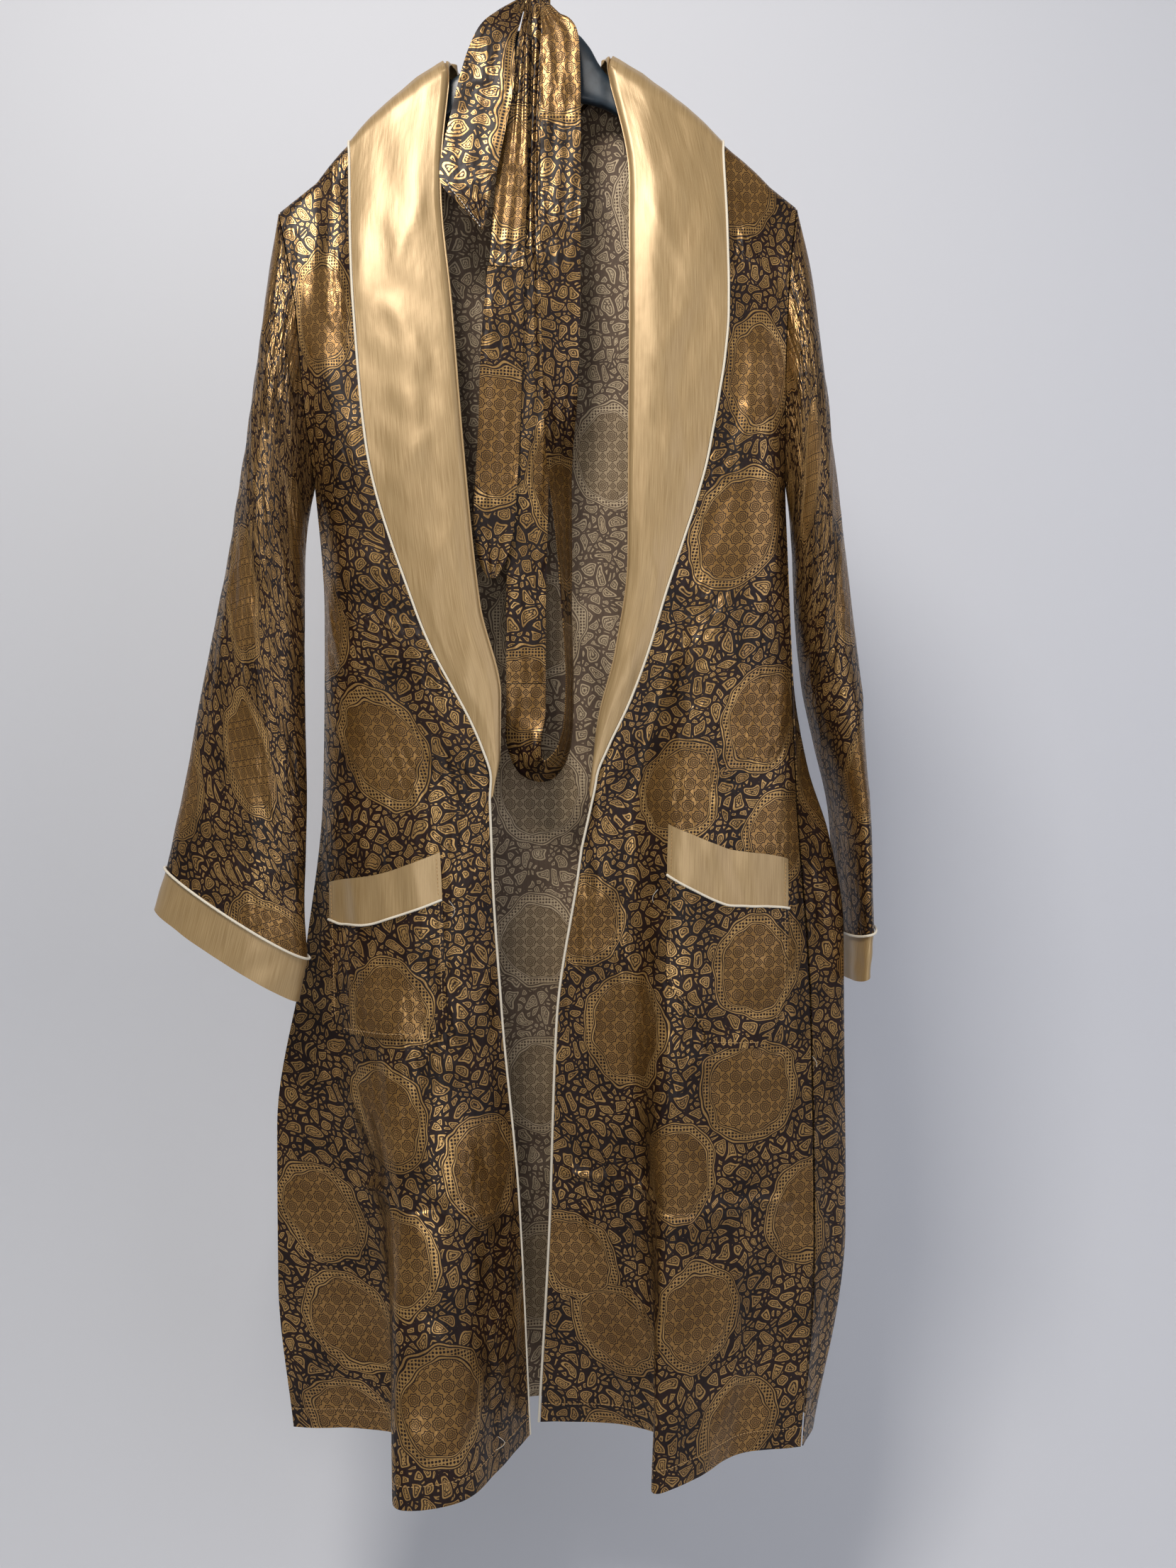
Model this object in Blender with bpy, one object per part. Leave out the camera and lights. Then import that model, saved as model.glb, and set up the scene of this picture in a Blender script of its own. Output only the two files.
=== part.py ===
"""Shawl collar robe of paisley satin, hung open on a moulded coat hanger with its belt over the hook.

Metres, +Z up, +Y towards the robe's back. The origin is inside the top of the hanger's hook, where
the hook hangs. Every cloth piece is a thin closed wall around a middle surface. A body panel is lofted
across fold lines: each line is a short table of heights with its place there, in millimetres. What lies
on a panel uses the panel's own points, moved out along its normals.
"""
import math

import bmesh
import bpy
import numpy as np

for old in list(bpy.data.objects):
    bpy.data.objects.remove(old, do_unlink=True)

MM = 0.001

# Thicknesses and gaps, in mm
CLOTH = 1.2
BELT_CLOTH = 1.4
SEAM_GAP = 0.3
PIPING_RADIUS = 1.1
LIE_ON = CLOTH + SEAM_GAP

# Heights, in mm below the hook's inside top
SHOULDER_LEVEL = -180
HOOK_INNER_RADIUS = 20
HOOK_WIRE = 4.0

# Rows down a panel: close ones over the shoulder, then even ones
SHOULDER_ROWS = (0.0, 0.002, 0.007, 0.020, 0.045)
EVEN_ROWS = 24
# The shoulder's ridge is a quarter of an ellipse this high, and starts this share of its depth out
SHOULDER_ROUND = 12
RIDGE_START = 0.09
# A top edge further back than this is the back of the neck, and has no ridge
NECK_DEPTH = 20
# Rows of the shoulder's slope fade out down the panel with this power
SLOPE_FADE = 1.6

# Fold lines of the wearer's right front: z, x, y
RIGHT_SIDE = (
    (-246, -226, -10), (-330, -209, -21), (-410, -202, -20), (-490, -195, -4), (-600, -189, 8),
    (-760, -191, 11), (-900, -206, 9), (-1060, -231, 5), (-1200, -230, 5), (-1330, -217, 8))
RIGHT_BASE = (
    (-220, -193, -11), (-400, -188, -28), (-560, -178, -14), (-780, -181, -6), (-980, -178, -8),
    (-1120, -140, -12), (-1330, -116, -8))
RIGHT_RIDGE = (
    (-206, -182, -12), (-400, -176, -33), (-560, -160, -30), (-780, -130, -36), (-960, -118, -46),
    (-1120, -106, -74), (-1330, -101, -115))
RIGHT_SHELF = (
    (-194, -172, -12), (-400, -164, -33), (-560, -140, -34), (-700, -98, -38), (-800, -80, -44),
    (-960, -72, -48), (-1120, -60, -72), (-1330, -54, -103))
RIGHT_COLLAR_LINE = (
    (-184, -162, -12), (-340, -154, -31), (-460, -143, -34), (-600, -101, -37), (-690, -64, -40),
    (-730, -51, -41), (-762, -43, -41), (-800, -48, -43), (-960, -46, -42), (-1120, -34, -46),
    (-1330, -26, -54))
RIGHT_EDGE = (
    (-122, -76, -12), (-230, -83, -26), (-340, -73, -31), (-460, -63, -34), (-600, -48, -36),
    (-680, -30, -37), (-730, -30, -38), (-762, -35, -39), (-800, -37, -40), (-950, -29, -30),
    (-1120, -14, -22), (-1330, -5, -6))

# Fold lines of the wearer's left front: z, x, y
LEFT_SIDE = (
    (-242, 231, -10), (-320, 222, -21), (-410, 219, -22), (-490, 221, -8), (-600, 223, -14),
    (-760, 228, -20), (-950, 240, -23), (-1150, 243, -24), (-1330, 232, -24))
LEFT_SWELL = (
    (-224, 208, -11), (-400, 208, -28), (-600, 212, -26), (-780, 219, -30), (-980, 219, -34),
    (-1150, 195, -38), (-1330, 172, -38))
LEFT_SHELF = (
    (-212, 196, -12), (-400, 197, -33), (-600, 186, -36), (-780, 168, -43), (-980, 165, -48),
    (-1150, 150, -56), (-1330, 136, -72))
LEFT_RIDGE = (
    (-202, 185, -12), (-400, 187, -34), (-600, 152, -38), (-780, 116, -46), (-980, 113, -54),
    (-1150, 110, -68), (-1330, 103, -93))
LEFT_BASE = (
    (-193, 174, -12), (-400, 177, -33), (-600, 130, -33), (-780, 86, -28), (-980, 84, -26),
    (-1150, 100, -20), (-1330, 112, -6))
LEFT_COLLAR_LINE = (
    (-184, 164, -12), (-340, 167, -31), (-460, 151, -33), (-600, 109, -35), (-690, 82, -36),
    (-730, 68, -35), (-762, 57, -34), (-800, 57, -32), (-980, 46, -16), (-1150, 44, 0),
    (-1330, 50, 16))
LEFT_EDGE = (
    (-118, 64, -12), (-230, 85, -26), (-340, 85, -31), (-460, 84, -33), (-560, 83, -34),
    (-640, 72, -34), (-700, 57, -33), (-762, 49, -32), (-830, 40, -28), (-960, 21, -18),
    (-1150, 14, 2), (-1330, 4, 16))

# Shoulder seams and the back of the neck: x, z, and y of the back's edge
TOP_EDGE = (
    (-226, -246, 1.2), (-193, -220, 1.2), (-182, -206, 1.2), (-172, -194, 1.2), (-162, -184, 1.2),
    (-142, -167, 1.2), (-120, -151.6, 1.2), (-98, -137, 1.4), (-80, -124.6, 3), (-76, -122, 7),
    (-60.5, -131, 21), (-41, -143, 31), (-21.5, -151, 37.5), (0, -154, 40), (16, -152, 38.5),
    (33.5, -145, 33), (51, -131, 23), (64, -118, 9), (69, -121, 3), (89, -134, 1.4), (114, -149, 1.2),
    (140, -165.5, 1.2), (164, -184, 1.2), (174, -193, 1.2), (185, -202, 1.2), (196, -212, 1.2),
    (208, -224, 1.2), (231, -242, 1.2))
# How far down a panel its top edge's own shape reaches
TOP_REACH = 45

# Fold lines of the back, from the wearer's right seam to the left one: z, x, y
BACK_RIGHT_SEAM = (
    (-246, -226, 10), (-330, -209, 22), (-410, -202, 20), (-490, -195, 0), (-600, -189, 11.5),
    (-760, -191, 14.5), (-900, -206, 12.5), (-1060, -231, 8), (-1200, -230, 8), (-1330, -217, 11))
BACK_RIGHT_TURN = (
    (-232, -208, 12), (-420, -194, 30), (-560, -186, 28), (-900, -198, 34), (-1100, -218, 32),
    (-1330, -207, 34))
BACK_RIGHT_FOLD = (
    (-190, -166, 13), (-420, -152, 38), (-900, -150, 50), (-1330, -152, 74))
BACK_RIGHT_VALLEY = (
    (-124.6, -80, 14), (-420, -84, 40), (-900, -78, 40), (-1330, -84, 34))
BACK_CENTRE = (
    (-154, -2, 40), (-220, -2, 42), (-420, 2, 42), (-900, 6, 52), (-1330, 6, 62))
BACK_LEFT_VALLEY = (
    (-121, 69, 14), (-420, 88, 40), (-900, 92, 40), (-1330, 84, 38))
BACK_LEFT_FOLD = (
    (-188, 168, 13), (-420, 166, 38), (-900, 176, 52), (-1330, 164, 76))
BACK_LEFT_TURN = (
    (-230, 214, 12), (-420, 216, 24), (-560, 224, 22), (-660, 230, 16), (-740, 244, 10),
    (-800, 262, 4), (-880, 274, 1), (-1150, 276, 2), (-1330, 250, 16))
BACK_LEFT_SEAM = (
    (-242, 231, 10), (-320, 222, 22), (-410, 219, 20), (-490, 221, -5), (-600, 224.5, -12),
    (-760, 230, -19), (-950, 242, -22), (-1150, 245, -23), (-1330, 234, -23))

# Sleeve rings: x, z, y of the outer point, x, z, y of the inner point, then how far the front and the
# back of the ring stand off the line between the two
RIGHT_SLEEVE = (
    (-227, -247, 0, -196, -490, -2, 22, 22),
    (-236, -300, 0, -199, -508, -6, 30, 26),
    (-243, -365, -2, -202, -545, -14, 36, 26),
    (-252, -440, -6, -200, -600, -26, 36, 24),
    (-266, -545, -14, -197, -690, -36, 34, 22),
    (-283, -650, -24, -194, -780, -42, 32, 20),
    (-300, -755, -34, -195, -850, -46, 30, 20),
    (-313, -825, -40, -192, -902, -48, 26, 20))
RIGHT_CUFF_END = (-323, -860, -42, -200, -938, -48, 25, 20)
LEFT_SLEEVE = (
    (232, -243, 0, 222, -490, -7, 22, 22),
    (244, -296, 2, 226, -512, -5, 34, 32),
    (256, -380, 6, 230, -545, -2, 42, 42),
    (268, -480, 12, 234, -600, 4, 46, 54),
    (283, -590, 20, 242, -660, 14, 52, 66),
    (293, -680, 30, 258, -720, 26, 60, 74),
    (300, -780, 38, 277, -790, 36, 62, 76),
    (303, -880, 42, 284, -890, 42, 64, 72))
LEFT_CUFF_END = (299, -920, 42, 283, -930, 42, 62, 68)

# Back of each collar half, from the shoulder to the middle of the back:
# share of the way, x and y and z of the outer edge, then of the roll, then of the stand's foot
RIGHT_COLLAR_BACK = (
    (0.04, -161.5, 6, -180.6, -76, 3, -110.8, -70.5, 4, -117),
    (0.09, -160, 15, -184, -76, 8, -110.5, -70, 8, -119),
    (0.2, -156, 21, -198, -75, 15, -110, -65, 13, -125),
    (0.5, -120, 32, -208, -62, 30, -107, -50, 22.5, -138),
    (0.75, -66, 46, -212, -35, 40, -106, -30, 32, -150),
    (1.0, -0.9, 50, -213, -0.9, 46, -106, -0.9, 37, -157))
LEFT_COLLAR_BACK = (
    (0.04, 163.5, 6, -180.6, 65, 3, -106.8, 58.8, 4, -113),
    (0.09, 162, 15, -184, 65, 8, -106.5, 58.5, 8, -115),
    (0.2, 158, 21, -198, 65, 15, -106.5, 55, 13, -121),
    (0.5, 121, 32, -208, 57, 30, -106, 42, 22, -136),
    (0.75, 66, 46, -212, 34, 40, -106, 26, 32, -149),
    (1.0, 0.9, 50, -213, 0.9, 46, -106, 0.9, 37, -157))
COLLAR_BACK_SHARES = (0.04, 0.09, 0.2, 0.35, 0.5, 0.67, 0.84, 1.0)
COLLAR_BOW = 4.5
# How the stand turns away from the roll: back and down
ROLL_TURN = ((-1.8, 0.6), (-4.0, -4.0))

# Belt stretches: x, y, z of the middle line, half the width, and the turn of its flat side away from
# the front, in degrees
BELT_LEFT_FALL = (
    (-10.5, -5, -58, 2.2, 0), (-23, -15, -80, 11, 0), (-34, -25, -106, 18, 0), (-42, -28, -150, 24, 0),
    (-53, -28, -205, 24, 0), (-58, -28, -240, 21, 0), (-54, -28, -262, 13, 0), (-47, -28, -282, 4, 0))
BELT_MIDDLE_FALL = (
    (-5, -5, -58, 1.8, 0), (-7.5, -14, -85, 3.6, 0), (-11, -20, -120, 6, 0), (-17, -20, -180, 11, 0),
    (-22, -18, -260, 14.5, 0), (-24.5, -17, -300, 14.8, 0))
BELT_END = (
    (-25, -17, -300.9, 16, 0), (-29, -15, -380, 18.5, 10), (-31, -14, -440, 18.5, 12),
    (-35, -13, -520, 18.5, 0), (-38, -12, -570, 13, 0), (-38, -12, -592, 4, 0))
BELT_BACK_STRAND = (
    (0, -5, -58, 1.8, 0), (0, -9.5, -85, 4, 0), (-1, -12, -150, 7, 0), (-2, -11, -300, 12, 0),
    (-4, -8, -420, 16, 0), (-6, -5, -520, 17.5, 0), (-8, -4, -600, 17.5, 0), (-8, -4, -664, 17.5, 0))
BELT_RIGHT_FALL = (
    (6, -5, -58, 2.2, 0), (14, -14, -80, 9, 0), (22, -19, -100, 16.5, 0), (23, -20, -150, 17.5, 0),
    (23, -19, -250, 17.5, 0), (23, -16, -380, 17.5, 25), (22, -14, -460, 17.5, 50),
    (26, -14, -540, 17.5, 68), (29, -14, -612, 17.5, 78))
BELT_LOOP = (
    (29.1, -14, -612.9, 17.5, 78), (31, -14, -660, 17.5, 80), (30, -14, -700, 17.5, 78),
    (23, -13, -729, 17, 70), (9, -12, -742, 17, 58), (-4, -10, -737, 16.5, 44),
    (-10, -7, -712, 17, 20), (-8, -4.5, -688, 17.5, 6), (-8, -4, -664.9, 17.5, 0))
# Wrap of the belt round the hook's stem: half its width and depth, and its heights
BELT_WRAP = (12.5, 3.5, (-50, -57, -64))

# Hanger: x, then z of the arm's top and bottom, then its half depth
HANGER_ARMS = (
    (-207, -232.5, -250, 3.6), (-194, -222, -242, 4.4), (-162, -185.6, -214, 5), (-120, -155.0, -188, 5.4),
    (-76, -129, -160, 5.6), (-62, -118, -152, 6), (-48, -100, -149, 6), (-36, -88, -147, 6),
    (-20, -84, -144, 6), (0, -83, -143, 6), (20, -84, -144, 6), (36, -86, -146, 6),
    (48, -98, -148, 6), (57, -114, -150, 6), (66, -125, -154, 5.6), (78, -132, -162, 5.6),
    (120, -156.5, -188, 5.4),
    (164, -185.6, -214, 5), (196, -214, -238, 4.4), (212, -228.5, -248, 3.6))
HANGER_SIDES = 10
HANGER_SQUARENESS = 0.6
STEM_FOOT = -83 + SEAM_GAP


def follow(rows, at):
    """Smooth curve through a table's rows at the keys asked for, with no overshoot between rows."""
    table = np.array(rows, dtype=float)
    if table[0, 0] > table[-1, 0]:
        table = table[::-1]
    key = table[:, 0]
    value = table[:, 1:]
    step = np.diff(key)[:, None]
    slope = np.diff(value, axis=0) / step
    same_way = slope[:-1] * slope[1:] > 0
    total = np.where(same_way, slope[:-1] + slope[1:], 1.0)
    inner = np.where(same_way, 2 * slope[:-1] * slope[1:] / total, 0.0)
    tangent = np.vstack([slope[:1], inner, slope[-1:]])
    at = np.clip(at, key[0], key[-1])
    low = np.clip(np.searchsorted(key, at, side="right") - 1, 0, len(key) - 2)
    width = step[low]
    t = ((at - key[low]) / width[:, 0])[:, None]
    return ((1 + 2 * t) * (1 - t) ** 2 * value[low] + t * (1 - t) ** 2 * width * tangent[low]
            + t ** 2 * (3 - 2 * t) * value[low + 1] + t ** 2 * (t - 1) * width * tangent[low + 1])


def stations(rows, count):
    """Evenly spaced rows between the rows of a table that has no key of its own."""
    keyed = [(index, *row) for index, row in enumerate(rows)]
    return follow(keyed, np.linspace(0, len(rows) - 1, count))


def unit(vectors):
    """Vectors along the last axis, each made one long."""
    return vectors / np.linalg.norm(vectors, axis=-1, keepdims=True)


def across(knots, counts):
    """Columns of points across each row of knots, on a curve with the knots' own chord lengths."""
    chord = np.diff(knots, axis=1)
    length = np.linalg.norm(chord, axis=2, keepdims=True)
    way = chord / length
    middle = ((way[:, :-1] * length[:, 1:] + way[:, 1:] * length[:, :-1])
              / (length[:, 1:] + length[:, :-1]))
    tangent = np.concatenate([way[:, :1], middle, way[:, -1:]], axis=1)
    columns = []
    for k, count in enumerate(counts):
        last = k == len(counts) - 1
        for t in np.linspace(0, 1, count + 1)[:count + last]:
            columns.append(
                (1 + 2 * t) * (1 - t) ** 2 * knots[:, k] + t * (1 - t) ** 2 * length[:, k] * tangent[:, k]
                + t ** 2 * (3 - 2 * t) * knots[:, k + 1]
                + t ** 2 * (t - 1) * length[:, k] * tangent[:, k + 1])
    return np.stack(columns, axis=1)


def panel(lines, counts):
    """Middle surface of a body panel: rows down, columns across its fold lines, in mm."""
    even = np.linspace(SHOULDER_ROWS[-1], 1, EVEN_ROWS + 1)[1:]
    share = np.concatenate([SHOULDER_ROWS, even])
    knots = []
    for line in lines:
        top = line[0][0]
        hem = line[-1][0]
        height = (SHOULDER_LEVEL + (hem - SHOULDER_LEVEL) * share
                  + (top - SHOULDER_LEVEL) * (1 - share) ** SLOPE_FADE)
        place = follow(line, height)
        if abs(line[0][2]) < NECK_DEPTH:
            drop = np.clip((top - height) / SHOULDER_ROUND, 0, 1)
            place[:, 1] *= RIDGE_START + (1 - RIDGE_START) * np.sqrt(1 - (1 - drop) ** 2)
        knots.append(np.column_stack([place, height]))
    return across(np.stack(knots, axis=1), counts)


def draw_top(grid, axis, column):
    """Move a panel's top edge to the shoulder and neck line on one axis, fading out down the panel."""
    table = np.array(TOP_EDGE)
    shift = np.interp(grid[0, :, 0], table[:, 0], table[:, column]) - grid[0, :, axis]
    reach = np.exp(-(grid[0, :, 2] - grid[:, :, 2]) / TOP_REACH)
    grid[:, :, axis] += shift * reach


def back_panel():
    """Middle surface of the back."""
    grid = panel((BACK_RIGHT_SEAM, BACK_RIGHT_TURN, BACK_RIGHT_FOLD, BACK_RIGHT_VALLEY, BACK_CENTRE,
                  BACK_LEFT_VALLEY, BACK_LEFT_FOLD, BACK_LEFT_TURN, BACK_LEFT_SEAM), BACK_COUNTS)
    draw_top(grid, 1, 2)
    draw_top(grid, 2, 1)
    return grid


def normals(grid, ring=False):
    """Unit normals of a grid, its rows crossed with its columns."""
    if ring:
        along = np.roll(grid, -1, axis=1) - np.roll(grid, 1, axis=1)
    else:
        along = np.gradient(grid, axis=1)
    return unit(np.cross(np.gradient(grid, axis=0), along))


def cells(rows, columns, ring=False):
    """Point numbers of a grid, and the corners of its cells."""
    number = np.arange(rows * columns).reshape(rows, columns)
    if ring:
        number = np.column_stack([number, number[:, 0]])
    quads = np.stack([number[:-1, :-1], number[1:, :-1], number[1:, 1:], number[:-1, 1:]], axis=-1)
    return number, quads.reshape(-1, 4)


def solid(name, points, faces, material):
    """One closed mesh object from points in mm, its faces turned outwards."""
    mesh = bpy.data.meshes.new(name)
    mesh.from_pydata((np.asarray(points) * MM).tolist(), [], [list(map(int, face)) for face in faces])
    work = bmesh.new()
    work.from_mesh(mesh)
    bmesh.ops.recalc_face_normals(work, faces=work.faces)
    work.to_mesh(mesh)
    work.free()
    mesh.materials.append(material)
    thing = bpy.data.objects.new(name, mesh)
    bpy.context.scene.collection.objects.link(thing)
    return thing


def wall(name, middle, material, thickness=CLOTH, ring=False):
    """Closed wall of cloth around a middle surface."""
    rows, columns = middle.shape[:2]
    out = normals(middle, ring) * thickness / 2
    points = np.concatenate([(middle + out).reshape(-1, 3), (middle - out).reshape(-1, 3)])
    number, quads = cells(rows, columns, ring)
    half = rows * columns
    triangles = np.concatenate([quads[:, [0, 1, 2]], quads[:, [0, 2, 3]]])
    faces = [triangles, triangles[:, ::-1] + half]
    borders = [number[0], number[-1][::-1]]
    if not ring:
        borders += [number[:, 0][::-1], number[:, -1]]
    for border in borders:
        start = border[:-1]
        end = border[1:]
        faces.append(np.column_stack([start, end, end + half]))
        faces.append(np.column_stack([start, end + half, start + half]))
    return solid(name, points, np.concatenate(faces), material)


def rod(name, rings, material, closed=False):
    """Closed solid through rings of points, with filled ends unless its last ring meets its first."""
    rows, sides = rings.shape[:2]
    if closed:
        rings_shut = np.concatenate([rings, rings[:1]])
        number, quads = cells(rows + 1, sides, ring=True)
        return solid(name, rings_shut[:-1].reshape(-1, 3), quads % (rows * sides), material)
    number, quads = cells(rows, sides, ring=True)
    faces = [list(quad) for quad in quads]
    faces.append(list(number[0][:-1]))
    faces.append(list(number[-1][:-1][::-1]))
    return solid(name, rings.reshape(-1, 3), faces, material)


def tube(name, path, radius, material, sides=5, closed=False, up=(0, -1, 0)):
    """Round tube along a path of points in mm."""
    path = np.asarray(path, dtype=float)
    if closed:
        heading = np.roll(path, -1, axis=0) - np.roll(path, 1, axis=0)
    else:
        heading = np.gradient(path, axis=0)
    heading = unit(heading)
    one_way = unit(np.cross(heading, np.asarray(up, dtype=float)))
    other_way = np.cross(one_way, heading)
    turn = (np.linspace(0, 2 * math.pi, sides, endpoint=False) + math.pi / sides)[None, :, None]
    round_it = np.cos(turn) * one_way[:, None] + np.sin(turn) * other_way[:, None]
    return rod(name, path[:, None] + radius * round_it, material, closed)


def finish(name, colour, roughness, metallic=0.0, sheen=0.0):
    """Principled material from a linear colour."""
    material = bpy.data.materials.new(name)
    material.use_nodes = True
    shader = material.node_tree.nodes["Principled BSDF"]
    shader.inputs["Base Color"].default_value = (*colour, 1)
    shader.inputs["Roughness"].default_value = roughness
    shader.inputs["Metallic"].default_value = metallic
    shader.inputs["Sheen Weight"].default_value = sheen
    return material


def paisley_satin(name):
    return finish(name, (0.19, 0.09, 0.035), 0.42, sheen=0.2)


def gold_satin(name):
    return finish(name, (0.52, 0.33, 0.14), 0.34, sheen=0.2)


def cream_piping(name):
    return finish(name, (0.82, 0.78, 0.68), 0.45)


def moulded_plastic(name):
    return finish(name, (0.02, 0.03, 0.04), 0.38)


def steel_wire(name):
    return finish(name, (0.55, 0.56, 0.58), 0.3, metallic=1.0)


# How far off the front the edge piping is on its first rows below the lapel
PIPING_DROP = (2.6, 1.4, 0.4)

# Columns between the fold lines of each panel
RIGHT_COUNTS = (2, 4, 3, 3, 4)
LEFT_COUNTS = (2, 3, 3, 3, 2, 4)
BACK_COUNTS = (2, 2, 3, 4, 4, 3, 2, 2)
# The last columns of a front, which the lapel lies on
LAPEL_COLUMNS = 4
# The row that the lapels end on
LAPEL_ROW = 16
# Pockets: the first and last column, the row that the band starts on, then the pouch, then its end
RIGHT_POCKET = (2, 9, 17, 18, 20)
LEFT_POCKET = (2, 8, 16, 17, 20)
POCKET_BOW = 2.0
# How far a pocket's bottom corners are drawn in, as a share of a cell
CORNER_CUT = 0.4

# How far a lapel stands off the front at each of its columns, how it rolls over the edge and lies behind
# it (steps along and off the front), the same at the shoulder where it stays above the hanger's arm, and
# how much further it stands off there
LAPEL_LIFT = (0.0, 1.0, 1.8, 2.2, 1.4)
ROLL = ((2.6, 0.0), (0.4, -2.6), (-6.0, -2.4), (-12.0, -1.5))
SHOULDER_ROLL = ((2.6, 9.0), (4.4, 7.6), (5.2, 6.0), (5.6, 4.4))
SHOULDER_ROLL_ROWS = (1.0, 0.8, 0.35)
SHOULDER_LIFT = 8
SHOULDER_LIFT_ROWS = 5
NARROW_LAPEL = 30
# How far a front's edge is drawn back under the lapel, on its first rows and then on
EDGE_INSET = (12.0, 12.0, 12.0, 13.0, 6.0)
LOW_EDGE_INSET = 2.4


def front(name, lines, counts, outward, material):
    """One front panel, its edge drawn back under the lapel; returns its points and outward normals."""
    grid = panel(lines, counts)
    draw_top(grid, 2, 1)
    drawn = grid.copy()
    inward = unit(grid[:, -2] - grid[:, -1])
    inset = LOW_EDGE_INSET * np.clip((LAPEL_ROW + 1 - np.arange(len(grid))) / 2.0, 0, 1)
    inset[:len(EDGE_INSET)] = EDGE_INSET
    drawn[:, -1] = grid[:, -1] + inward * inset[:, None]
    wall(name, drawn, material)
    return grid, normals(grid) * outward


def lapel(grid, out):
    """Front rows of a collar half, from the shoulder to the lapel's end, rolled over the front's edge."""
    rows = slice(0, LAPEL_ROW + 1)
    place = grid[rows, -LAPEL_COLUMNS - 1:]
    normal = out[rows, -LAPEL_COLUMNS - 1:]
    count = LAPEL_ROW + 1
    width = np.linalg.norm(place[:, 0] - place[:, -1], axis=1)
    narrow = np.clip(width / NARROW_LAPEL, 0, 1)[:, None]
    raised = SHOULDER_LIFT * np.clip(1 - np.arange(count) / SHOULDER_LIFT_ROWS, 0, 1)[:, None] ** 2
    share = np.linspace(0, 1, LAPEL_COLUMNS + 1)[None]
    lift = LIE_ON + np.array(LAPEL_LIFT)[None] * narrow + raised * share
    laid = place + normal * lift[..., None]
    edge = place[:, -1]
    way = unit(edge - place[:, -2])
    above_arm = np.zeros((count, 1))
    above_arm[:len(SHOULDER_ROLL_ROWS), 0] = SHOULDER_ROLL_ROWS
    rolled = []
    for (along, off), (along_top, off_top) in zip(ROLL, SHOULDER_ROLL):
        step = along * (narrow if along < 0 else 1) * (1 - above_arm) + along_top * above_arm
        rolled.append(edge + way * step + normal[:, -1] * (off * (1 - above_arm) + off_top * above_arm))
    return np.concatenate([laid, np.stack(rolled, axis=1)], axis=1)


def collar_back(table, top_row):
    """Back rows of a collar half: the fall, the roll and the stand inside it."""
    first = (0.0, *top_row[0], *top_row[LAPEL_COLUMNS], *top_row[-1])
    share = np.array(COLLAR_BACK_SHARES)
    place = follow((first, *table), share)
    outer = place[:, None, :3]
    roll = place[:, None, 3:6]
    foot = place[:, None, 6:]
    t = np.linspace(0, 1, LAPEL_COLUMNS + 1)[None, :, None]
    fall = outer * (1 - t) + roll * t
    fall[:, :, 1:] += COLLAR_BOW * np.sin(math.pi * t) * np.array([0.6, 0.8])
    stand = np.clip(share * 1.5 - 0.1, 0, 1)[:, None, None]
    start = top_row[LAPEL_COLUMNS + 1:LAPEL_COLUMNS + 3] - top_row[LAPEL_COLUMNS]
    turned = np.array([(0.0, *step) for step in ROLL_TURN])
    turn = roll + start[None] * (1 - stand) + turned[None] * stand
    inner = np.concatenate([turn, (turn[:, 1:] + foot) / 2, foot], axis=1)
    return np.concatenate([fall, inner], axis=1)


def collar_half(name, grid, out, table, material):
    """A collar half, its lapel, shoulder and back in one cloth; returns its surface."""
    laid = lapel(grid, out)
    surface = np.concatenate([laid[::-1], collar_back(table, laid[0])])
    wall(name, surface, material)
    return surface


def edge_piping(name, grid, out, surface, material):
    """Piping from the middle of the back, round the collar and down the front edge to the hem."""
    clear = SEAM_GAP + PIPING_RADIUS + 0.3
    above = PIPING_RADIUS + SEAM_GAP - CLOTH / 2
    count = LAPEL_ROW + 1
    column = grid.shape[1] - LAPEL_COLUMNS - 1
    edge = surface[:, 0]
    away = unit(edge - surface[:, 1])
    raised = np.tile(np.array([0.0, 0.7, 0.0]), (len(edge), 1))
    facing = normals(surface)[:, 0]
    facing *= np.sign(np.sum(facing[0] * out[LAPEL_ROW, column]))
    raised[:count] = out[:count, column][::-1] * above
    on_collar = (edge + away * clear + raised)[::-1]
    below = grid[count:, -1]
    side = unit(below - grid[count:, -2])
    down_front = below + side * clear
    for row, height in enumerate(PIPING_DROP):
        down_front[row] += out[count + row, -1] * height
    tube(name, np.concatenate([on_collar, down_front]), PIPING_RADIUS, material,
         up=np.concatenate([facing[::-1], out[count:, -1]]))


def pocket(side, grid, out, place, materials):
    """Pocket pouch, its band and the piping between them, laid on a front."""
    cloth, satin, cord = materials
    first, last, band_row, pouch_row, end_row = place
    part = slice(first, last + 1)
    bow = POCKET_BOW * np.sin(np.linspace(0, math.pi, last - first + 1))[None, :, None]
    fade = np.linspace(1, 0, end_row - pouch_row + 1)[:, None, None]
    rows = slice(pouch_row, end_row + 1)
    pouch = grid[rows, part] + out[rows, part] * (LIE_ON + bow * fade)
    pouch[0] = pouch[0] + unit(pouch[1] - pouch[0]) * SEAM_GAP * 2
    pouch[-1, 0] += (pouch[-2, 1] - pouch[-1, 0]) * CORNER_CUT
    pouch[-1, -1] += (pouch[-2, -2] - pouch[-1, -1]) * CORNER_CUT
    wall(side + "_pocket", pouch, cloth)
    rows = slice(band_row, pouch_row + 1)
    band = grid[rows, part] + out[rows, part] * (LIE_ON + bow)
    wall(side + "_pocket_band", band, satin)
    seam = grid[pouch_row, part] + out[pouch_row, part] * (
        LIE_ON + bow[0] + CLOTH / 2 + SEAM_GAP + PIPING_RADIUS)
    tube(side + "_pocket_piping", seam, PIPING_RADIUS, cord, up=(0, 0, 1))


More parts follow.
